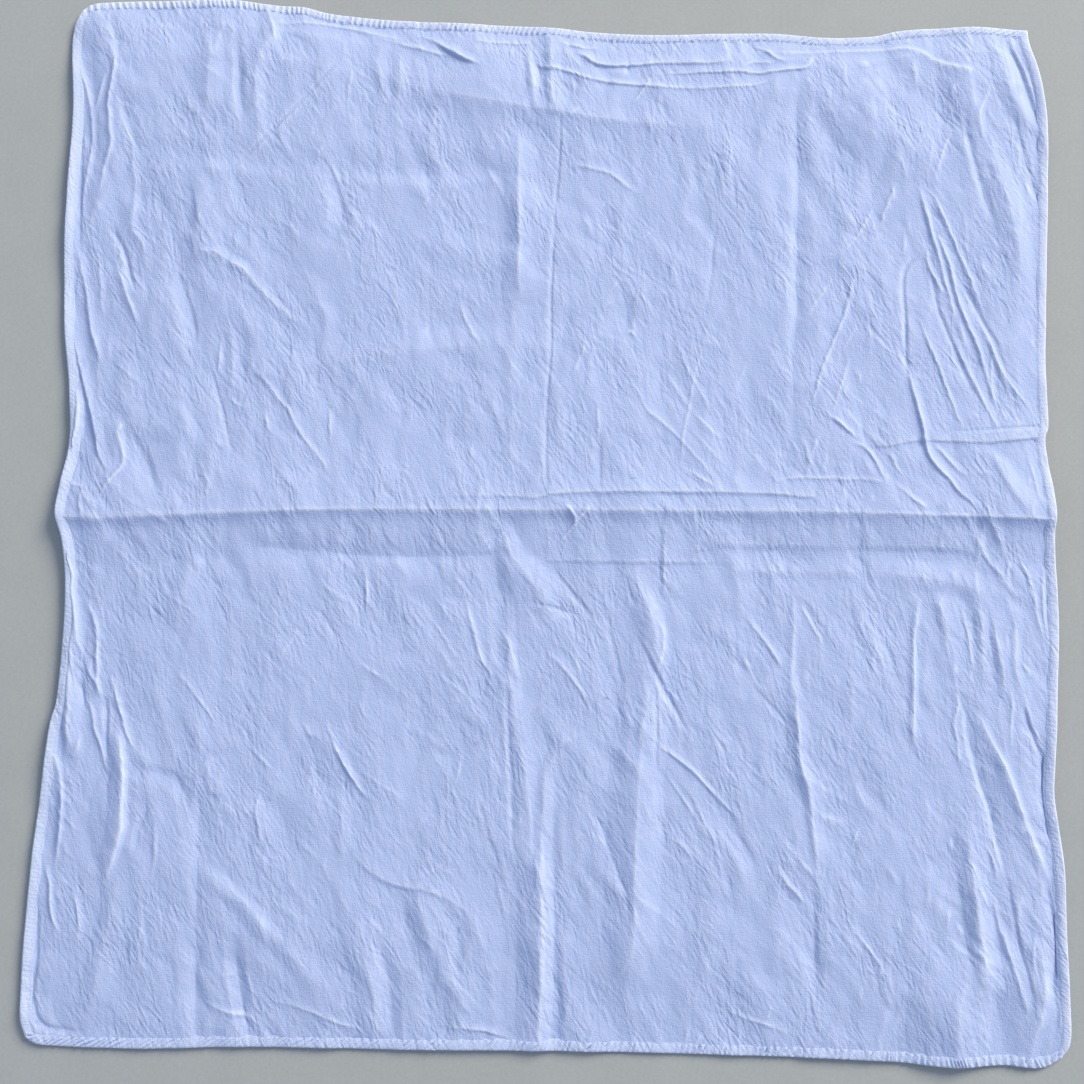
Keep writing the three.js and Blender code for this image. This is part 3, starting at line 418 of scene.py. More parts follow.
    (AWAY, "sharp", 3, 2, ((31, -62), (23, -52, -0.7), (13, -40, -0.8), (3, -27))),
    (AWAY, "sharp", 2, 2, ((45, -99), (42, -88, -0.5), (40, -78, -0.5), (37, -65, -0.5),
        (34, -55, -0.4), (30, -43))),
    (AWAY, "tent", 14, 6, ((59, -92, 0.4), (61, -80, 1.7), (60.5, -66, 2.4), (57.5, -54, 2.4),
        (52, -41, 1.6), (45, -28))),
    (AWAY, "tent", 2, 13, ((66, -48), (66, -40, 0.9), (66, -30, 1.3), (66.5, -20, 1.1),
        (66.5, -6, 0.4))),
    (AWAY, "sharp", 2, 2, ((59, -90), (63, -82, 0.7), (65, -74, 0.7), (65, -65, 0.6), (61, -58))),
    (ACROSS, "sharp", 2, 2, ((-9, -48.5), (5, -52, -0.6), (13, -54.5, -0.6), (22, -57))),
    (ACROSS, "sharp", 1.6, 2, ((1, -75), (9, -81, 0.5), (16, -90, 0.6), (22, -99, 0.5),
        (28, -112))),
    (ACROSS, "sharp", 10, 15, ((-165, -19), (-148, -20, -0.9), (-120, -22, -1.1), (-90, -25, -1.1),
        (-50, -24.5, -0.9), (-5, -22))),
    (ACROSS, "tent", 1.8, 9, ((0, -26), (8, -26.3, 0.5), (40, -26.8, 0.6), (75, -27, 0.6),
        (96, -27, 0.3), (110, -27))),
    # crossing pulls right of the middle
    (AWAY, "sharp", 1.6, 1.6, ((93, 52), (88, 62, 0.5), (84, 70, 0.5), (80, 78, 0.5), (76, 88, 0.5),
        (71, 99))),
    (ACROSS, "sharp", 1.6, 1.6, ((66, 78), (73, 68, 0.4), (78, 60, 0.4), (84, 52, 0.4),
        (92, 44, 0.5), (101, 37))),
    (AWAY, "sharp", 1.6, 1.6, ((75, 22), (76, 35, 0.5), (78, 45, 0.5), (80, 55, 0.5), (82, 65, 0.5),
        (84, 75, 0.4), (91, 100))),
    (ACROSS, "sharp", 1.6, 1.6, ((49, 74), (54, 62, 0.4), (58, 55, 0.5), (64, 50, 0.5),
        (72, 42, 0.5), (80, 33, 0.5), (88, 24, 0.4), (97, 10))),
    (ACROSS, "sharp", 1.6, 1.6, ((74, 26), (82, 20, 0.5), (90, 15, 0.5), (96, 10))),
    (AWAY, "sharp", 1.6, 1.6, ((31, 39), (31, 46, 0.6), (30, 54, 0.6), (29, 63))),
    (AWAY, "sharp", 2, 2, ((16, 72), (20, 82, 0.5), (25, 94))),
    (AWAY, "tent", 5, 6, ((-17, 18), (-17, 35, 0.5), (-17, 60, 0.6), (-17, 80, 0.6), (-16, 92))),
    (AWAY, "tent", 4, 8, ((9, 22), (9, 40, 0.7), (9, 60, 0.7), (8, 76))),
    (AWAY, "sharp", 5, 3, ((31, 12), (31.5, 20, -0.8), (31.5, 32, -0.9), (31, 44))),
    # left of the middle
    (AWAY, "sharp", 2, 1.6, ((-163, 20), (-168, 34, -0.4), (-172, 46, -0.7), (-176, 60, -0.8),
        (-180, 72, -0.6), (-182.5, 80))),
    (AWAY, "sharp", 2, 2, ((-177, 75), (-176.5, 84, 0.9), (-176.5, 96))),
    (ACROSS, "sharp", 2, 2, ((-173, 68), (-168, 60, 0.6), (-160, 56))),
    (ACROSS, "sharp", 2.5, 2, ((-159, 80), (-150, 70, 0.6), (-145, 63, 0.7), (-138, 55, 0.7),
        (-133, 45, 0.7), (-128, 38, 0.7), (-120, 28, 0.6), (-114, 18))),
    (AWAY, "sharp", 2, 2, ((-148, 42), (-149.5, 48, 0.8), (-151, 56))),
    (AWAY, "sharp", 2, 2, ((-115, 36), (-115.5, 46, 0.8), (-115, 58))),
    (AWAY, "sharp", 2, 2, ((-94, -58), (-94.5, -48, 0.8), (-94.5, -38, 0.9), (-96, -27))),
    (AWAY, "sharp", 2, 2, ((-108, -72), (-114, -62, -0.6), (-121, -51))),
    (ACROSS, "sharp", 2, 2, ((-99, -81), (-90, -87, 0.5), (-79, -94))),
    (AWAY, "sharp", 2.5, 2, ((-172, -118), (-178, -107, 0.5), (-187, -96, 0.5), (-196, -84))),
    # left side
    (AWAY, "sharp", 1.8, 6, ((-235.5, 20), (-240.5, 30, 1.3), (-242.5, 38, 1.8), (-245.5, 50, 2),
        (-248.5, 62, 1.9), (-251.5, 74, 1.7), (-255, 85, 1.1), (-259, 98, 0.4))),
    (AWAY, "tent", 2.5, 3, ((-261, 14, 0.6), (-258, 28, 2.6), (-255, 43, 3), (-254, 55, 2.7),
        (-255, 70, 0.6))),
    (AWAY, "sharp", 1.6, 2, ((-248, -4), (-249, 0, 0.8), (-250, 5, 0.8), (-248, 13))),
    (ACROSS, "sharp", 1.6, 1.6, ((-259, 16), (-252, 14, 0.4), (-246, 12))),
    (AWAY, "sharp", 5, 3, ((-245, -84), (-247.5, -72, 1.1), (-249.5, -60, 1.7), (-251.5, -46, 2.3),
        (-252.5, -34, 2.4), (-256, -24, 2.2), (-259, -13, 1.8), (-262, -7, 0.9), (-263, -1, 0.5))),
    (AWAY, "tent", 3, 6, ((-252, -134), (-252.5, -120, 1.9), (-253, -105, 2.4), (-252.5, -85, 2.4),
        (-251.5, -65, 1.8), (-250, -52))),
    (AWAY, "sharp", 3, 2, ((-236, -100), (-237, -90, 1.2), (-238, -75, 1.3), (-239, -63, 1.3),
        (-242, -55, 0.9), (-245, -48))),
    (AWAY, "sharp", 2.5, 2, ((-233, -102), (-237, -94, 0.9), (-241, -88, 0.9), (-244, -80))),
    (AWAY, "sharp", 3, 3, ((-224.5, 48), (-230, 46, 0.6), (-231, 41, 0.9), (-227.5, 32, 1.1),
        (-228.5, 24, 1.2), (-235, 15, 0.9), (-239.5, 7))),
    (AWAY, "tent", 7, 3.5, ((-206, 6), (-209.5, 14, -0.9), (-214, 25, -1.3), (-219, 35, -1),
        (-225, 47))),
    # near left
    (AWAY, "sharp", 2.2, 2.2, ((-214, -130), (-219, -121, 1), (-223, -110, 1.3), (-226, -100, 1.1),
        (-230, -89))),
    (AWAY, "tent", 6, 2, ((-191, 91), (-192, 100, -0.9), (-194, 110, -1), (-198, 122, -0.8),
        (-203, 134))),
    (AWAY, "tent", 8, 2, ((-230, -200), (-227, -190, 1.2), (-224, -180, 1.9), (-221.5, -168, 2.3),
        (-221, -155, 2.5), (-222, -140, 2.5), (-223, -130, 2.1), (-225, -114))),
    (AWAY, "sharp", 2, 2.5, ((-230.5, -134), (-231.5, -120, -1), (-232.5, -107, -1), (-236, -90))),
    (AWAY, "sharp", 2.5, 2, ((-230, -142), (-233, -129, 1), (-236.5, -118, 1.1), (-238.5, -110, 1),
        (-241.5, -98))),
    (AWAY, "sharp", 2, 2, ((-243, -110), (-245, -98, -0.8), (-247, -86))),
    (AWAY, "sharp", 4, 2, ((-257, -192), (-255, -175, 1.3), (-254, -160, 1.4), (-254.5, -145, 1.3),
        (-257, -134, 1.1), (-262, -126))),
    (AWAY, "sharp", 2.5, 2, ((-253, -223), (-256, -215, 1.1), (-258, -205, 1.3), (-259, -195, 1.2),
        (-261, -186))),
    (AWAY, "sharp", 2, 2, ((-247, -132), (-246, -124, 0.7), (-246, -116))),
    (AWAY, "sharp", 3, 3, ((-243, -232), (-242, -220, 0.8), (-243, -210, 0.9), (-247, -198))),
    (AWAY, "tent", 7, 9, ((-236.5, -270), (-233.5, -257, 0.8), (-229.5, -236, 1.2),
        (-225, -214, 1.2), (-223, -200, 0.6), (-222, -190))),
    (AWAY, "sharp", 3, 3, ((-258, -271, -0.6), (-264, -263, -1.1), (-266, -250, -1.2),
        (-264.5, -235, -1.2), (-265, -215, -1.1), (-268, -203))),
    (ACROSS, "sharp", 3, 3, ((-262, -268, -0.4), (-250, -272, -0.7), (-236, -273))),
    (AWAY, "sharp", 9, 11, ((-180, -277, -1), (-180.5, -262, -1.7), (-181, -245, -1.8),
        (-181, -225, -1.6), (-181, -204, -1.2), (-181, -180, -0.8), (-181, -160, -0.7),
        (-181, -149))),
    (AWAY, "tent", 5, 5, ((-150, -278, -1), (-154, -266, -1.6), (-157.5, -255, -1.7),
        (-160, -240, -1.5), (-160.5, -221))),
    (ACROSS, "sharp", 3, 2, ((-177, -256), (-165, -262, 0.7), (-155, -264, 0.8), (-146, -269))),
    (ACROSS, "sharp", 2, 1.6, ((-147, -255), (-125, -260, 0.5), (-105, -268, 0.6), (-88, -273))),
    (AWAY, "sharp", 2, 3.4, ((-92, -154), (-96, -148, 0.9), (-101, -141, 1.4), (-106, -133, 1.4),
        (-110, -124, 0.8), (-115, -112))),
    (AWAY, "sharp", 2, 2, ((-121, -122), (-125, -117, 0.6), (-129, -111))),
    (ACROSS, "sharp", 1.6, 1.6, ((-161, -120), (-148, -133, 0.4), (-135, -146))),
    (AWAY, "sharp", 3, 2.5, ((-146, -179), (-148.5, -170, 0.6), (-150.5, -158, 0.7), (-147, -149))),
    (ACROSS, "tent", 5, 4, ((-220, -137), (-208, -138.5, -0.6), (-196, -143, -0.8),
        (-190, -150, -0.6), (-186, -158))),
    (AWAY, "sharp", 3, 3, ((-214, -185), (-213.5, -175, -0.6), (-212, -168, -0.7),
        (-208.5, -159, -0.7), (-214, -149))),
    (AWAY, "tent", 3, 8, ((-176, -152), (-175.5, -146, 0.8), (-176, -136, 0.8), (-176, -130))),
    (AWAY, "tent", 8, 6, ((-129, -186), (-134, -175, -0.7), (-138, -163, -0.8), (-141, -151))),
    (AWAY, "tent", 5, 4, ((-104, -188), (-104.5, -175, 0.7), (-105, -160, 0.7), (-106, -150))),
    (AWAY, "tent", 7, 6, ((-190, -56), (-192, -44, 0.9), (-189, -32, 0.9), (-184, -25))),
    (ACROSS, "swell", 7, 5, ((-186, -182), (-172, -194, 0.6), (-158, -205, 1), (-146, -218, 1.1),
        (-135, -229, 0.6), (-120, -245, 0.4), (-108, -255))),
    (AWAY, "sharp", 2.5, 2.5, ((-204, -197), (-203, -180, 0.8), (-204.5, -160))),
)

# The relief covers the square with some room to spare.
CELL = 0.5
relief_x = np.arange(-276, 288, CELL)
relief_y = np.arange(-295, 297, CELL)
relief = np.zeros((len(relief_y), len(relief_x)))
# How rounded each kind of crest is, and how a flank comes down from it to its foot.
CREST = {"sharp": 0.25, "tent": 0.6, "swell": 0.6}
FALL = {
    "sharp": lambda t: (1 - t) ** 2,
    "tent": lambda t: 1 - t,
    "swell": lambda t: 0.5 + 0.5 * np.cos(math.pi * t),
}


def press(running, shape, before, after, line, wobble=0.35):
    """Adds one crease to the relief, its height fading from the crest to the foot of each flank."""
    line = through(line, 5)
    sway = np.cumsum(rng.normal(0, wobble * 0.5, len(line)))
    line[:, 1 if running == ACROSS else 0] += sway - np.linspace(sway[0], sway[-1], len(line))
    reach = max(before, after)
    x0, x1 = np.searchsorted(relief_x, (line[:, 0].min() - reach, line[:, 0].max() + reach))
    y0, y1 = np.searchsorted(relief_y, (line[:, 1].min() - reach, line[:, 1].max() + reach))
    px, py = np.meshgrid(relief_x[x0:x1], relief_y[y0:y1])
    nearest = np.full(px.shape, np.inf)
    height = np.zeros(px.shape)
    turn = np.zeros(px.shape)
    for (ax, ay, ah), (bx, by, bh) in zip(line[:-1], line[1:]):
        dx, dy = bx - ax, by - ay
        t = np.clip(((px - ax) * dx + (py - ay) * dy) / (dx * dx + dy * dy + 1e-9), 0, 1)
        off = (px - ax - t * dx) ** 2 + (py - ay - t * dy) ** 2
        closer = off < nearest
        nearest = np.where(closer, off, nearest)
        height = np.where(closer, ah + t * (bh - ah), height)
        turn = np.where(closer, dx * (py - ay) - dy * (px - ax), turn)
    flank = np.where((turn > 0) == (running == AWAY), before, after)
    crest = CREST[shape]
    down = np.clip((np.sqrt(nearest + crest ** 2) - crest) / flank, 0, 1)
    relief[y0:y1, x0:x1] += height * FALL[shape](down)


# The lines are listed where they look to be from the camera. The cloth stands a few millimetres
# off the floor, so each one lies a little nearer to the camera's foot than that.
STANDING = 4.5
drawn_in = 1 - STANDING / CAMERA_HEIGHT
# Soft cotton holds a narrow crease less well than a broad one. Those that run in from the left
# hem, with the centre fold among them, hold whole.
NARROW = 4
NARROW_HOLD, BROAD_HOLD = 0.8, 0.9
AT_LEFT_HEM = -250
for running, shape, before, after, line in CREASES:
    hold = NARROW_HOLD if shape == "sharp" and min(before, after) < NARROW else BROAD_HOLD
    if running == ACROSS and line[0][0] < AT_LEFT_HEM:
        hold = 1
    drawn = []
    for point in line:
        x, y, height = (*point, 0)[:3]
        drawn.append((x * drawn_in, (y + CAMERA_BACK) * drawn_in - CAMERA_BACK, hold * height))
    press(running, shape, before, after, drawn)


def soften(field, millimetres):
    """Rounds a relief off with a few passes of a box as wide as the size given."""
    width = max(1, round(millimetres / CELL / 2))
    size = 2 * width + 1
    for _ in range(3):
        for axis in (0, 1):
            pad = [(width + 1, width) if k == axis else (0, 0) for k in (0, 1)]
            total = np.cumsum(np.pad(field, pad, mode="edge"), axis=axis)
            high = [slice(size, None) if k == axis else slice(None) for k in (0, 1)]
            low = [slice(0, -size) if k == axis else slice(None) for k in (0, 1)]
            field = (total[tuple(high)] - total[tuple(low)]) / size
    return field


def drift(millimetres, amount):
    """A slow random wander over the whole cloth."""
    field = soften(rng.normal(0, 1, relief.shape), millimetres)
    return field * amount / field.std()


# The crumple: facets of four sizes, and short sharper creases at random, with more of the
# creases on the right half.
FACETS = (
    # across, along, lean in degrees, height, softness of their edges
    (26, 60, 15, 0.42, 2.5),
    (13, 30, 18, 0.32, 1.1),
    (7, 19, 13, 0.21, 0.8),
    (4, 13, 10, 0.10, 0.5),
)
CREASELETS = (
    # how many, lean in degrees from straight away, spread, length, flank, height, from the left
    (300, 12, 14, 20, 1.8, 0.20, -268),
    (220, 38, 12, 28, 1.6, 0.18, -268),
    (110, -35, 18, 15, 1.7, 0.16, -268),
    (40, 20, 30, 60, 15.0, 0.5, -268),
    (150, 8, 14, 13, 1.8, 0.34, 150),
)
# Each size of facet is cut from the middle of a wide net of random heights.
KNOTS = 900
MIDDLE_KNOT = 400


def crumple(across_mm, along_mm, lean, height, edge):
    """Small flat facets with soft creases between them, drawn out along their lean, as a relief."""
    x, y = np.meshgrid(relief_x, relief_y)
    turn = math.radians(lean)
    u = (x * math.cos(turn) + y * math.sin(turn)) / across_mm + drift(across_mm * 1.6, 0.45)
    v = (y * math.cos(turn) - x * math.sin(turn)) / along_mm + drift(across_mm * 1.6, 0.30)
    u, v = u + MIDDLE_KNOT, v + MIDDLE_KNOT
    i, j = u.astype(int), v.astype(int)
    u, v = u - i, v - j
    knots = rng.normal(0, height, (KNOTS, KNOTS))
    swap = rng.random((KNOTS, KNOTS))[i, j] < 0.5
    a, b, c, d = knots[i, j], knots[i + 1, j], knots[i, j + 1], knots[i + 1, j + 1]
    one = np.where(u + v < 1, a + u * (b - a) + v * (c - a), d + (1 - u) * (c - d) + (1 - v) * (b - d))
    other = np.where(u > v, a + u * (b - a) + v * (d - b), a + v * (c - a) + u * (d - c))
    return soften(np.where(swap, one, other), edge)


for facet in FACETS:
    relief += crumple(*facet)
for count, lean, spread, length, flank, height, leftmost in CREASELETS:
    for _ in range(count):
        x = rng.uniform(leftmost, 275)
        y = rng.uniform(-286, 288)
        angle = math.radians(rng.normal(lean, spread))
        half = 0.5 * length * rng.uniform(0.4, 1.7)
        dx, dy = -math.sin(angle) * half, math.cos(angle) * half
        bow = rng.normal(0, 0.12) * half
        tall = height * rng.uniform(0.3, 1.6) * rng.choice((-0.7, 1, 1))
        wide = flank * rng.uniform(0.6, 1.5)
        shape = "sharp" if flank < 5 else "swell"
        press(AWAY, shape, 1.5 * wide, 0.8 * wide * rng.uniform(0.7, 1.3),
              ((x - dx, y - dy, 0), (x + bow, y, tall), (x + dx, y + dy, 0)), 0.25)

# Small puckers run in from the near and far hems, where the sewing has drawn the cloth up.
for edge, way, count in ((near, 1, 90), (far, -1, 80)):
    for _ in range(count):
        x = rng.uniform(-258, 266)
        length = rng.uniform(6, 15)
        slant = rng.normal(0.25, 0.35) * length
        tall = rng.uniform(0.1, 0.38) * rng.choice((-0.7, 1))
        foot = float(edge(x)) + 3 * way
        line = [(x, foot, tall), (x + slant * way, foot + length * way, 0)]
        press(AWAY, "sharp", 1.8, 1.5, line[::way], 0.2)

# The side hems lift by up to a couple of millimetres: the place along them, then the lift.
LEFT_LIFT = (
    (-290, 0.2), (-272, 0.4), (-245, 1.8), (-200, 2.1), (-146, 1.9), (-104, 1.8), (-60, 1.6),
    (-18, 1.4), (-2, 1.1), (15, 1.2), (40, 1.4), (70, 1.1), (104, 1.5), (160, 2.1), (214, 2.2),
    (242, 2.0), (268, 0.7), (284, 0.3), (295, 0.1),
)
RIGHT_LIFT = (
    (-290, 0.4), (-265, 1.2), (-215, 2.2), (-150, 2.2), (-120, 2.0), (-80, 0.8), (-30, 0.8),
    (-5, 1.0), (20, 0.5), (60, 0.4), (120, 0.6), (170, 1.0), (215, 1.8), (250, 2.2),
    (268, 1.0), (290, 0.4),
)
LEFT_LIFT_WIDTH, RIGHT_LIFT_WIDTH = 11, 7
across, away = np.meshgrid(relief_x, relief_y)
for rows, edge, width in (
        (LEFT_LIFT, left, LEFT_LIFT_WIDTH), (RIGHT_LIFT, right, RIGHT_LIFT_WIDTH)):
    inward = np.abs(across - edge(away))
    relief += side(rows)(away) * np.clip(1 - inward / width, 0, 1) ** 1.3

# It rests on the lowest of its creases, a few millimetres up. It comes down towards its edges,
# all the way along the far one and about halfway along the near and left ones.
EASE, EASE_AT_EDGE, EASE_REACH = 1.8, 0.08, 16
NEAR_EASE_REACH = 3.5 * EASE_REACH
RESTING = 2.7


def from_edges(x, y):
    """How far in a place lies from the left, right, near and far edge."""
    return x - left(y), right(y) - x, y - near(x), far(x) - y


def share_up(distance, at_edge, reach):
    """The share of the resting height at a distance from an edge, all of it from its reach on."""
    return np.clip(at_edge + (1 - at_edge) * distance / reach, 0, 1)


from_left, from_right, from_near, from_far = from_edges(across, away)
inside = np.minimum(np.minimum(from_left, from_right) / EASE_REACH,
                    np.minimum(from_near / NEAR_EASE_REACH, from_far / EASE_REACH))
relief += EASE * (EASE_AT_EDGE + (1 - EASE_AT_EDGE) * np.clip(inside, 0, 1))
relief += (RESTING * share_up(from_far, at_edge=0, reach=34)
           * share_up(from_near, at_edge=0.42, reach=170)
           * share_up(from_left, at_edge=0.45, reach=80))
# No crease goes under the floor, and one that nearly would is rounded off above it.
FLOOR_ROUNDING = 0.4
relief = 0.5 * (relief + np.sqrt(relief ** 2 + FLOOR_ROUNDING ** 2))


def settle(x, y, field):
    """Any field's value at any place, read between its cells."""
    u = np.clip((np.asarray(x) - relief_x[0]) / CELL, 0, len(relief_x) - 1.001)
    v = np.clip((np.asarray(y) - relief_y[0]) / CELL, 0, len(relief_y) - 1.001)
    i, j = u.astype(int), v.astype(int)
    u, v = u - i, v - j
    return ((field[j, i] * (1 - u) + field[j, i + 1] * u) * (1 - v)
            + (field[j + 1, i] * (1 - u) + field[j + 1, i + 1] * u) * v)


# Three corners are turned round: their place, and how far they are drawn in, fading out over a few
# millimetres. The far right one is square.
CORNERS = ((-262, 287, 2.0, -1.8), (-269, -276, 1.6, 1.4), (271, -287, -2.0, 1.6))
CORNER_FADE = 60
USUAL_LEFT, USUAL_WIDTH = -262, 534
USUAL_NEAR, USUAL_LENGTH = -278, 556


def place(u, v, inset):
    """A point's place from its share of the way across and away, a set distance off the edges."""
    x, y = USUAL_LEFT + USUAL_WIDTH * u, USUAL_NEAR + USUAL_LENGTH * v
    for _ in range(5):
        x = left(y) + inset + u * (right(y) - left(y) - 2 * inset)
        y = near(x) + inset + v * (far(x) - near(x) - 2 * inset)
    for corner_x, corner_y, pull_x, pull_y in CORNERS:
        close = np.exp(-((x - corner_x) ** 2 + (y - corner_y) ** 2) / CORNER_FADE)
        x, y = x + pull_x * close, y + pull_y * close
    return x, y


def sheet_faces(columns, rows, start, up):
    """Four-sided faces between the points of a sheet, looking up or down."""
    a = (np.arange(rows - 1)[:, None] * columns + np.arange(columns - 1)[None, :]).ravel() + start
    quads = np.stack([a, a + 1, a + columns + 1, a + columns], axis=1)
    return quads if up else quads[:, ::-1]


def sheet_edge(columns, rows, start):
    """The points round the edge of a sheet, in turn."""
    k = np.arange(rows * columns).reshape(rows, columns) + start
    return np.concatenate([k[0, :-1], k[:-1, -1], k[-1, :0:-1], k[:0:-1, 0]])


def make_piece(name, points, faces):
    """A smooth piece of the bandana, from its points in metres and its faces."""
    mesh = bpy.data.meshes.new(name)
    mesh.from_pydata(points.tolist(), [], faces)
    mesh.validate()
    made = bpy.data.objects.new(name, mesh)
    bpy.context.collection.objects.link(made)
    for polygon in mesh.polygons:
        polygon.use_smooth = True
    return made


def to_metres(x, y, z):
    return np.stack([(x + CROSSING_X) * MM, (y + CROSSING_Y) * MM, z * MM], axis=-1)


# Face and underside meet at the edge, a little way in under the hem. The underside has an eighth
# as many points each way, and each one lies under the lowest of the face around it.
SHEET_THICKNESS = 0.35
SHEET_TRIANGLES = 196000
SHEET_INSET = 2
UNDER_GAP = 0.1
FINE = 8
columns, rows = 106 * FINE + 1, 112 * FINE + 1
x, y = place(np.linspace(0, 1, columns)[None, :], np.linspace(0, 1, rows)[:, None], SHEET_INSET)
z = settle(x, y, relief)
face_points = to_metres(x, y, z + SHEET_THICKNESS)
lowest = z.copy()
for axis in (0, 1):
    widened = lowest.copy()
    for step in range(1, FINE + 1):
        ahead = np.roll(lowest, -step, axis)
        behind = np.roll(lowest, step, axis)
        widened = np.minimum(widened, np.minimum(ahead, behind))
    lowest = widened
under_points = to_metres(x[::FINE, ::FINE], y[::FINE, ::FINE],
                         np.maximum(lowest[::FINE, ::FINE] - UNDER_GAP, 0))
under_rows, under_columns = under_points.shape[:2]
points = np.vstack([face_points.reshape(-1, 3), under_points.reshape(-1, 3)])
faces = sheet_faces(columns, rows, start=0, up=True).tolist()
faces += sheet_faces(under_columns, under_rows, start=rows * columns, up=False).tolist()
face_edge = sheet_edge(columns, rows, 0)
under_edge = sheet_edge(under_columns, under_rows, rows * columns)
for k, here in enumerate(under_edge):
    after = under_edge[(k + 1) % len(under_edge)]
    steps = [int(face_edge[(k * FINE + s) % len(face_edge)]) for s in range(FINE + 1)]
    faces.append([int(here), int(after)] + steps[::-1])
cloth = make_piece("bandana_cloth_sheet", points, faces)
triangles = sum(len(p.vertices) - 2 for p in cloth.data.polygons)
thin = cloth.modifiers.new("thin", "DECIMATE")
thin.ratio = SHEET_TRIANGLES / triangles
bpy.context.view_layer.update()
thinned = bpy.data.meshes.new_from_object(
    cloth.evaluated_get(bpy.context.evaluated_depsgraph_get()))
cloth.modifiers.clear()
cloth.data = thinned

# Thinning turns a few slivers of the upper face over. Those away from the hem, which would show,
# are smoothed flat again.
LEVEL = 0.55
OVER_UNDERSIDE = 0.15
CLEAR_OF_HEM = 8
slivers = bmesh.new()
slivers.from_mesh(thinned)
for _ in range(6):
    slivers.normal_update()
    tipped = [f for f in slivers.faces if f.normal.z < LEVEL]
    middles = np.array([f.calc_center_median() for f in tipped]) / MM
    x, y = middles[:, 0] - CROSSING_X, middles[:, 1] - CROSSING_Y
    above = middles[:, 2] > settle(x, y, relief) + OVER_UNDERSIDE
    shown = above & (np.min(from_edges(x, y), axis=0) > CLEAR_OF_HEM)
    loose = {v for f, seen in zip(tipped, shown) if seen for v in f.verts}
    if not loose:
        break
    bmesh.ops.smooth_vert(slivers, verts=list(loose), factor=0.6,
                          use_axis_x=True, use_axis_y=True, use_axis_z=True)
slivers.to_mesh(thinned)
slivers.free()

# Crests get a painted highlight: paler colour along them, standing in for the light they catch.
CREST_WIDTH = 1.6
HIGHLIGHT_HEIGHT = 0.22
highlighted_crests = relief - soften(relief, CREST_WIDTH)
spots = np.empty(len(thinned.vertices) * 3)
thinned.vertices.foreach_get("co", spots)
spots = spots.reshape(-1, 3) / MM
pale = thinned.attributes.new("pale", "FLOAT", "POINT")
pale.data.foreach_set("value", np.clip(
    settle(spots[:, 0] - CROSSING_X, spots[:, 1] - CROSSING_Y, highlighted_crests) / HIGHLIGHT_HEIGHT, -1, 1))


# Washed cotton: a plain weave with slubs in its threads, and a crinkle finer than the creases.
def matt_finish(name, roughness):
    """A matt finish, with the tree and the shader that its colour and its surface are linked to."""
    made = bpy.data.materials.new(name)
    made.use_nodes = True
    shader = made.node_tree.nodes["Principled BSDF"]
    shader.inputs["Roughness"].default_value = roughness
    return made, made.node_tree, shader


def add_node(kind, **settings):
    """A node in the tree of the finish that is being made."""
    made = tree.nodes.new(kind)
    for name, value in settings.items():
        setattr(made, name, value)
    return made


def combine(how, value, *others):
    """Adds, multiplies or compares values in turn, each a number or what another node gives."""
    for other in others:
        made = add_node("ShaderNodeMath", operation=how)
        for socket, part in zip(made.inputs, (value, other)):
            if isinstance(part, (int, float)):
                socket.default_value = part
            else:
                tree.links.new(part, socket)
        value = made.outputs[0]
    return value


def blend(share, first, second):
    """A colour between two others, each a colour or what another node gives."""
    # A colour mix takes its share at socket 0 and its colours at 6 and 7, and gives colour at 2.
    made = add_node("ShaderNodeMix", data_type="RGBA")
    share_in, first_in, second_in = (made.inputs[k] for k in (0, 6, 7))
    for socket, part in ((share_in, share), (first_in, first), (second_in, second)):
        if isinstance(part, tuple):
            socket.default_value = (*part, 1)
        else:
            tree.links.new(part, socket)
    return made.outputs[2]


def speckle(lean, across_mm, along_mm, seed, detail=2, distortion=0):
    """Soft noise drawn out along a direction that leans from straight away, sizes in mm."""
    turn = add_node("ShaderNodeMapping", vector_type="TEXTURE")
    turn.inputs["Rotation"].default_value = (0, 0, math.radians(lean))
    turn.inputs["Location"].default_value = (seed, 0, 0)
    turn.inputs["Scale"].default_value = (across_mm * MM, along_mm * MM, 20 * MM)
    tree.links.new(add_node("ShaderNodeTexCoord").outputs["Object"], turn.inputs["Vector"])
    noise = add_node("ShaderNodeTexNoise", noise_dimensions="2D")
    noise.inputs["Scale"].default_value = 1
    noise.inputs["Detail"].default_value = detail
    noise.inputs["Roughness"].default_value = 0.55
    noise.inputs["Distortion"].default_value = distortion
    tree.links.new(turn.outputs["Vector"], noise.inputs["Vector"])
    return noise.outputs[0]


CRINKLES = (
    # lean in degrees, across, along, seed, height
    (12, 4.6, 17, 0.31, 0.15),
    (36, 4.2, 16, 0.57, 0.13),
    (-28, 4.4, 12, 0.83, 0.09),
)
CRINKLE_STEEPNESS = 5
SLUBS = (
    # across, along, seed, detail, height
    (0.8, 2.4, 2.3, 1, 0.11),
    (2.4, 0.8, 2.9, 1, 0.085),
    (1, 1, 3.7, 2, 0.10),
)
# The third colour and the share after it are a painted highlight for crests and the hem's rolled edge.
DEEP_BLUE, PALE_BLUE, HIGHLIGHT_BLUE = (0.395, 0.486, 0.770), (0.440, 0.538, 0.820), (0.72, 0.78, 0.93)
HIGHLIGHT_SHARE = 0.42


def crinkle(lean, across_mm, along_mm, seed, height):
    """Sharp little creases, in millimetres of height, along the lines where soft noise turns."""
    noise = speckle(lean, across_mm, along_mm, seed, 1, 0.3)
    turned = combine("ABSOLUTE", combine("SUBTRACT", noise, 0.5), 0)
    return combine("MULTIPLY", turned, -CRINKLE_STEEPNESS, height)


cotton, tree, shader = matt_finish("washed_cotton", 0.92)
shader.inputs["Specular IOR Level"].default_value = 0.15
crinkles = combine("ADD", *(crinkle(*row) for row in CRINKLES))
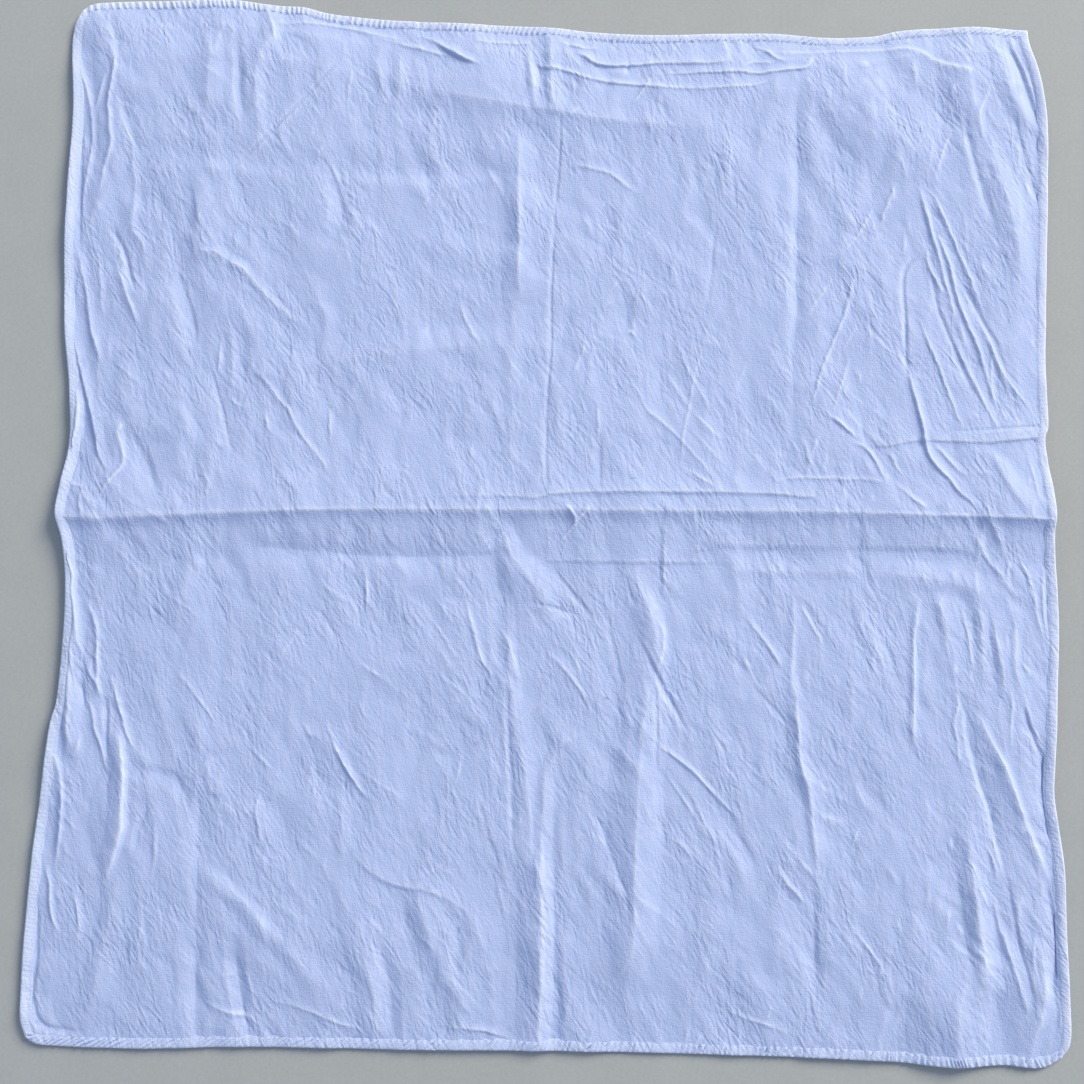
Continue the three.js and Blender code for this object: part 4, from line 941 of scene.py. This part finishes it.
# The crinkle comes and goes in patches a few centimetres wide, and is nowhere quite gone.
patches = combine("MULTIPLY", combine("SUBTRACT", speckle(15, 26, 44, 1.7, 1), 0.2), 2.2)
crinkles = combine("MULTIPLY", crinkles, combine("MAXIMUM", patches, 0.15))
slubs = [combine("MULTIPLY", speckle(0, wide, long, seed, detail), height)
         for wide, long, seed, detail, height in SLUBS]
bump = add_node("ShaderNodeBump")
bump.inputs["Distance"].default_value = MM
bump.inputs["Strength"].default_value = 1
tree.links.new(combine("ADD", crinkles, *slubs), bump.inputs["Height"])
tree.links.new(bump.outputs["Normal"], shader.inputs["Normal"])
threads = combine("MULTIPLY", speckle(0, 1.6, 12, 4.1), speckle(0, 11, 1.5, 4.7))
# Mix in the painted highlight where the 'pale' attribute marks crests and the hem's outer edge.
crest_highlight = add_node("ShaderNodeAttribute", attribute_name="pale").outputs["Fac"]
painted_highlight = combine("MULTIPLY", combine("MAXIMUM", crest_highlight, 0), HIGHLIGHT_SHARE)
tree.links.new(blend(painted_highlight, blend(threads, DEEP_BLUE, PALE_BLUE), HIGHLIGHT_BLUE),
               shader.inputs["Base Color"])
thinned.materials.clear()
thinned.materials.append(cotton)
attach(cloth, "root")
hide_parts("bandana_cloth")


# ---------------------------------------------------------------------------------------------
# Hem. The cloth's own edge, turned over twice to a band about 5 mm wide and sewn down. The sewing
# drags the far and near hems into slanting ropes, and the side ones are smoother.
# ---------------------------------------------------------------------------------------------
HEM = (
    # inward from the edge, height over the cloth, how much paler it is drawn (painted highlight, most
    # at the rolled outer edge)
    (0, 0.3, 1), (0.15, 0.55, 1), (0.5, 0.76, 0.85), (1.1, 0.86, 0.6), (2, 0.86, 0.5),
    (2.9, 0.83, 0.45), (3.7, 0.78, 0.4), (4.3, 0.64, 0.3), (4.9, 0.48, 0.25), (5.5, 0.28, 0.15),
    (6.1, 0.08, 0.1), (4.6, 0.02, 0.1), (2.6, 0, 0.1), (0.6, 0.05, 0.4),
)
# The stitches follow the table's row 7. The ropes rise over the band's top, from its edge in.
SEAM = 7
ROPED_ABOVE = 0.6
ROPE_FADE = 0.6
BAND_MIDDLE = 3
ROPES = (
    # The near, right, far and left hem in turn: how far apart the ropes are, their height, how
    # lopsided they are, their slant, how far the band tilts, and how much paler it is drawn.
    (3.8, 0.45, -0.4, -0.779, 0.03, 1.1),
    (2.1, 0.05, -0.4, 0, -0.01, 1.7),
    (3.9, 0.36, 0.4, -0.697, -0.02, 1.6),
    (2.1, 0.08, 0.4, -0.574, 0.09, 1.9),
)
SIDE_LENGTH = 560
SIDE_STEPS = 1080
stations = 4 * SIDE_STEPS
calm = soften(relief, 4)


def hem_line(inset):
    """One closed line round the cloth: near, right, far and left side in turn."""
    t = np.arange(SIDE_STEPS) / SIDE_STEPS
    one, none = np.ones(SIDE_STEPS), np.zeros(SIDE_STEPS)
    return place(np.concatenate([t, one, 1 - t, none]), np.concatenate([none, t, one, 1 - t]), inset)


def unevenly(every, draw, *spread):
    """A value for each station round the hem, drawn every few stations and read between them."""
    drawn = draw(*spread, stations // every + 1)
    return np.interp(np.arange(stations), np.arange(len(drawn)) * every, drawn)


# Each rope's width and height differ a little from its neighbours'.
apart, rise, skew, slant, tilt, whiter = np.repeat(ROPES, SIDE_STEPS, axis=0).T
ropes_per_station = SIDE_LENGTH / SIDE_STEPS / (apart * (1 + 0.35 * unevenly(8, rng.normal, 0, 0.8)))
phase = np.cumsum(np.maximum(ropes_per_station, 0.03))
rise = rise * unevenly(6, rng.uniform, 0.25, 1.3)
plump = 1 + 0.10 * unevenly(40, rng.normal, 0, 1)
hem_lines = []
for inward, high, drawn_paler in HEM:
    x, y = hem_line(inward)
    z = settle(x, y, calm) + high * plump
    if high > ROPED_ABOVE:
        turn = 2 * math.pi * (phase + slant * inward / apart)
        wave = np.sin(turn) + skew * np.sin(2 * turn)
        z = z + rise * wave * min(1, inward / ROPE_FADE) + tilt * (BAND_MIDDLE - inward)
    hem_lines.append(to_metres(x, y, np.maximum(z, 0)))
hem_points = np.stack(hem_lines, axis=1)
k = np.arange(stations)
after = (k + 1) % stations
profile = len(HEM)
hem_faces = []
for row in range(profile):
    beyond = (row + 1) % profile
    hem_faces.append(np.stack([k * profile + row, after * profile + row, after * profile + beyond,
                               k * profile + beyond], axis=1))
hem = make_piece("bandana_cloth_hem", hem_points.reshape(-1, 3), np.concatenate(hem_faces).tolist())
hem.data.materials.append(cotton)
# The hem is drawn paler than the cloth: partly for its three layers, partly as a painted highlight
# along its rolled outer edge.
pale = hem.data.attributes.new("pale", "FLOAT", "POINT")
pale.data.foreach_set("value", np.outer(whiter, [drawn_paler for inward, high, drawn_paler in HEM]).ravel())
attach(hem, "root")


# ---------------------------------------------------------------------------------------------
# Stitches. One row of machine stitches holds the hem down, in a cotton thread a little paler than
# the cloth. Each one rises out of the hem, lies along it and dives back in.
# ---------------------------------------------------------------------------------------------
STITCH_PITCH = 2.1
STITCH_LENGTH = 1.55
STITCH = (
    # share of its length, half its thickness, height over the hem
    (0, 0.04, -0.07), (0.22, 0.12, -0.03), (0.78, 0.12, -0.03), (1, 0.04, -0.07),
)
AROUND = 6
LOOK_AHEAD = 0.3
PALE_THREAD, DEEP_THREAD = (0.60, 0.68, 0.90), (0.44, 0.53, 0.79)
seam = hem_lines[SEAM] / MM
seam = np.vstack([seam, seam[:1]])
along = np.concatenate([[0], np.cumsum(np.hypot(*np.diff(seam[:, :2], axis=0).T))])
count = int(along[-1] / STITCH_PITCH)
middles = (np.arange(count) + 0.5) * along[-1] / count + rng.normal(0, 0.06, count)
rings = []
for share, thick, high in STITCH:
    at = middles + (share - 0.5) * STITCH_LENGTH
    centre = np.stack([np.interp(at, along, seam[:, k]) for k in range(3)], axis=-1)
    ahead = np.stack([np.interp(at + LOOK_AHEAD, along, seam[:, k]) for k in range(2)], axis=-1)
    heading = ahead - centre[:, :2]
    heading /= np.linalg.norm(heading, axis=1)[:, None] + 1e-9
    beside = np.stack([-heading[:, 1], heading[:, 0], np.zeros(count)], axis=-1)
    for spoke in range(AROUND):
        angle = 2 * math.pi * spoke / AROUND
        rings.append(centre + beside * thick * math.cos(angle)
                     + np.array([0, 0, 1]) * (high + thick * math.sin(angle)))
stitch_points = np.stack(rings, axis=1)
per_stitch = stitch_points.shape[1]
stitch_faces = []
for stitch in range(count):
    base = stitch * per_stitch
    stitch_faces.append([base + spoke for spoke in range(AROUND)][::-1])
    stitch_faces.append([base + per_stitch - AROUND + spoke for spoke in range(AROUND)])
    for ring in range(len(STITCH) - 1):
        for spoke in range(AROUND):
            a = base + ring * AROUND + spoke
            b = base + ring * AROUND + (spoke + 1) % AROUND
            stitch_faces.append([a, b, b + AROUND, a + AROUND])
stitches = make_piece("bandana_cloth_stitches", stitch_points.reshape(-1, 3) * MM, stitch_faces)
thread, tree, shader = matt_finish("sewing_thread", 0.8)
tree.links.new(blend(speckle(35, 0.25, 0.9, 6.3), DEEP_THREAD, PALE_THREAD),
               shader.inputs["Base Color"])
stitches.data.materials.append(thread)
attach(stitches, "root")


# ---------------------------------------------------------------------------------------------
# Floor and light. A pale concrete floor, one broad soft light low on the far right and a dim
# even sky.
# ---------------------------------------------------------------------------------------------
DARK_CONCRETE, PALE_CONCRETE = (0.325, 0.347, 0.357), (0.405, 0.431, 0.443)
bpy.ops.mesh.primitive_plane_add(size=6, location=(0, 0, 0))
floor = bpy.context.object
floor.name = "floor"
concrete, tree, shader = matt_finish("concrete", 0.9)
grain = combine("MULTIPLY", speckle(0, 2.2, 2.2, 5.1, 3), 0.65)
mottle = combine("MULTIPLY", speckle(0, 30, 30, 5.9), 0.35)
tree.links.new(blend(combine("ADD", grain, mottle), DARK_CONCRETE, PALE_CONCRETE),
               shader.inputs["Base Color"])
floor.data.materials.append(concrete)

LIGHT_DISTANCE = 6.5
LIGHT_ELEVATION = math.radians(26)
LIGHT_AZIMUTH = math.radians(45)
light_data = bpy.data.lights.new("key", "AREA")
light_data.shape = "DISK"
light_data.size = 2.9
light_data.energy = 665
light_data.color = (1.0, 0.90, 0.73)
light = bpy.data.objects.new("key", light_data)
level_distance = LIGHT_DISTANCE * math.cos(LIGHT_ELEVATION)
light.location = (level_distance * math.cos(LIGHT_AZIMUTH), level_distance * math.sin(LIGHT_AZIMUTH),
                  LIGHT_DISTANCE * math.sin(LIGHT_ELEVATION))
light.rotation_euler = (math.pi / 2 - LIGHT_ELEVATION, 0, math.pi / 2 + LIGHT_AZIMUTH)
bpy.context.collection.objects.link(light)
world = bpy.data.worlds.new("sky")
world.use_nodes = True
world.node_tree.nodes["Background"].inputs["Color"].default_value = (0.69, 0.80, 1.0, 1)
world.node_tree.nodes["Background"].inputs["Strength"].default_value = 0.58
bpy.context.scene.world = world
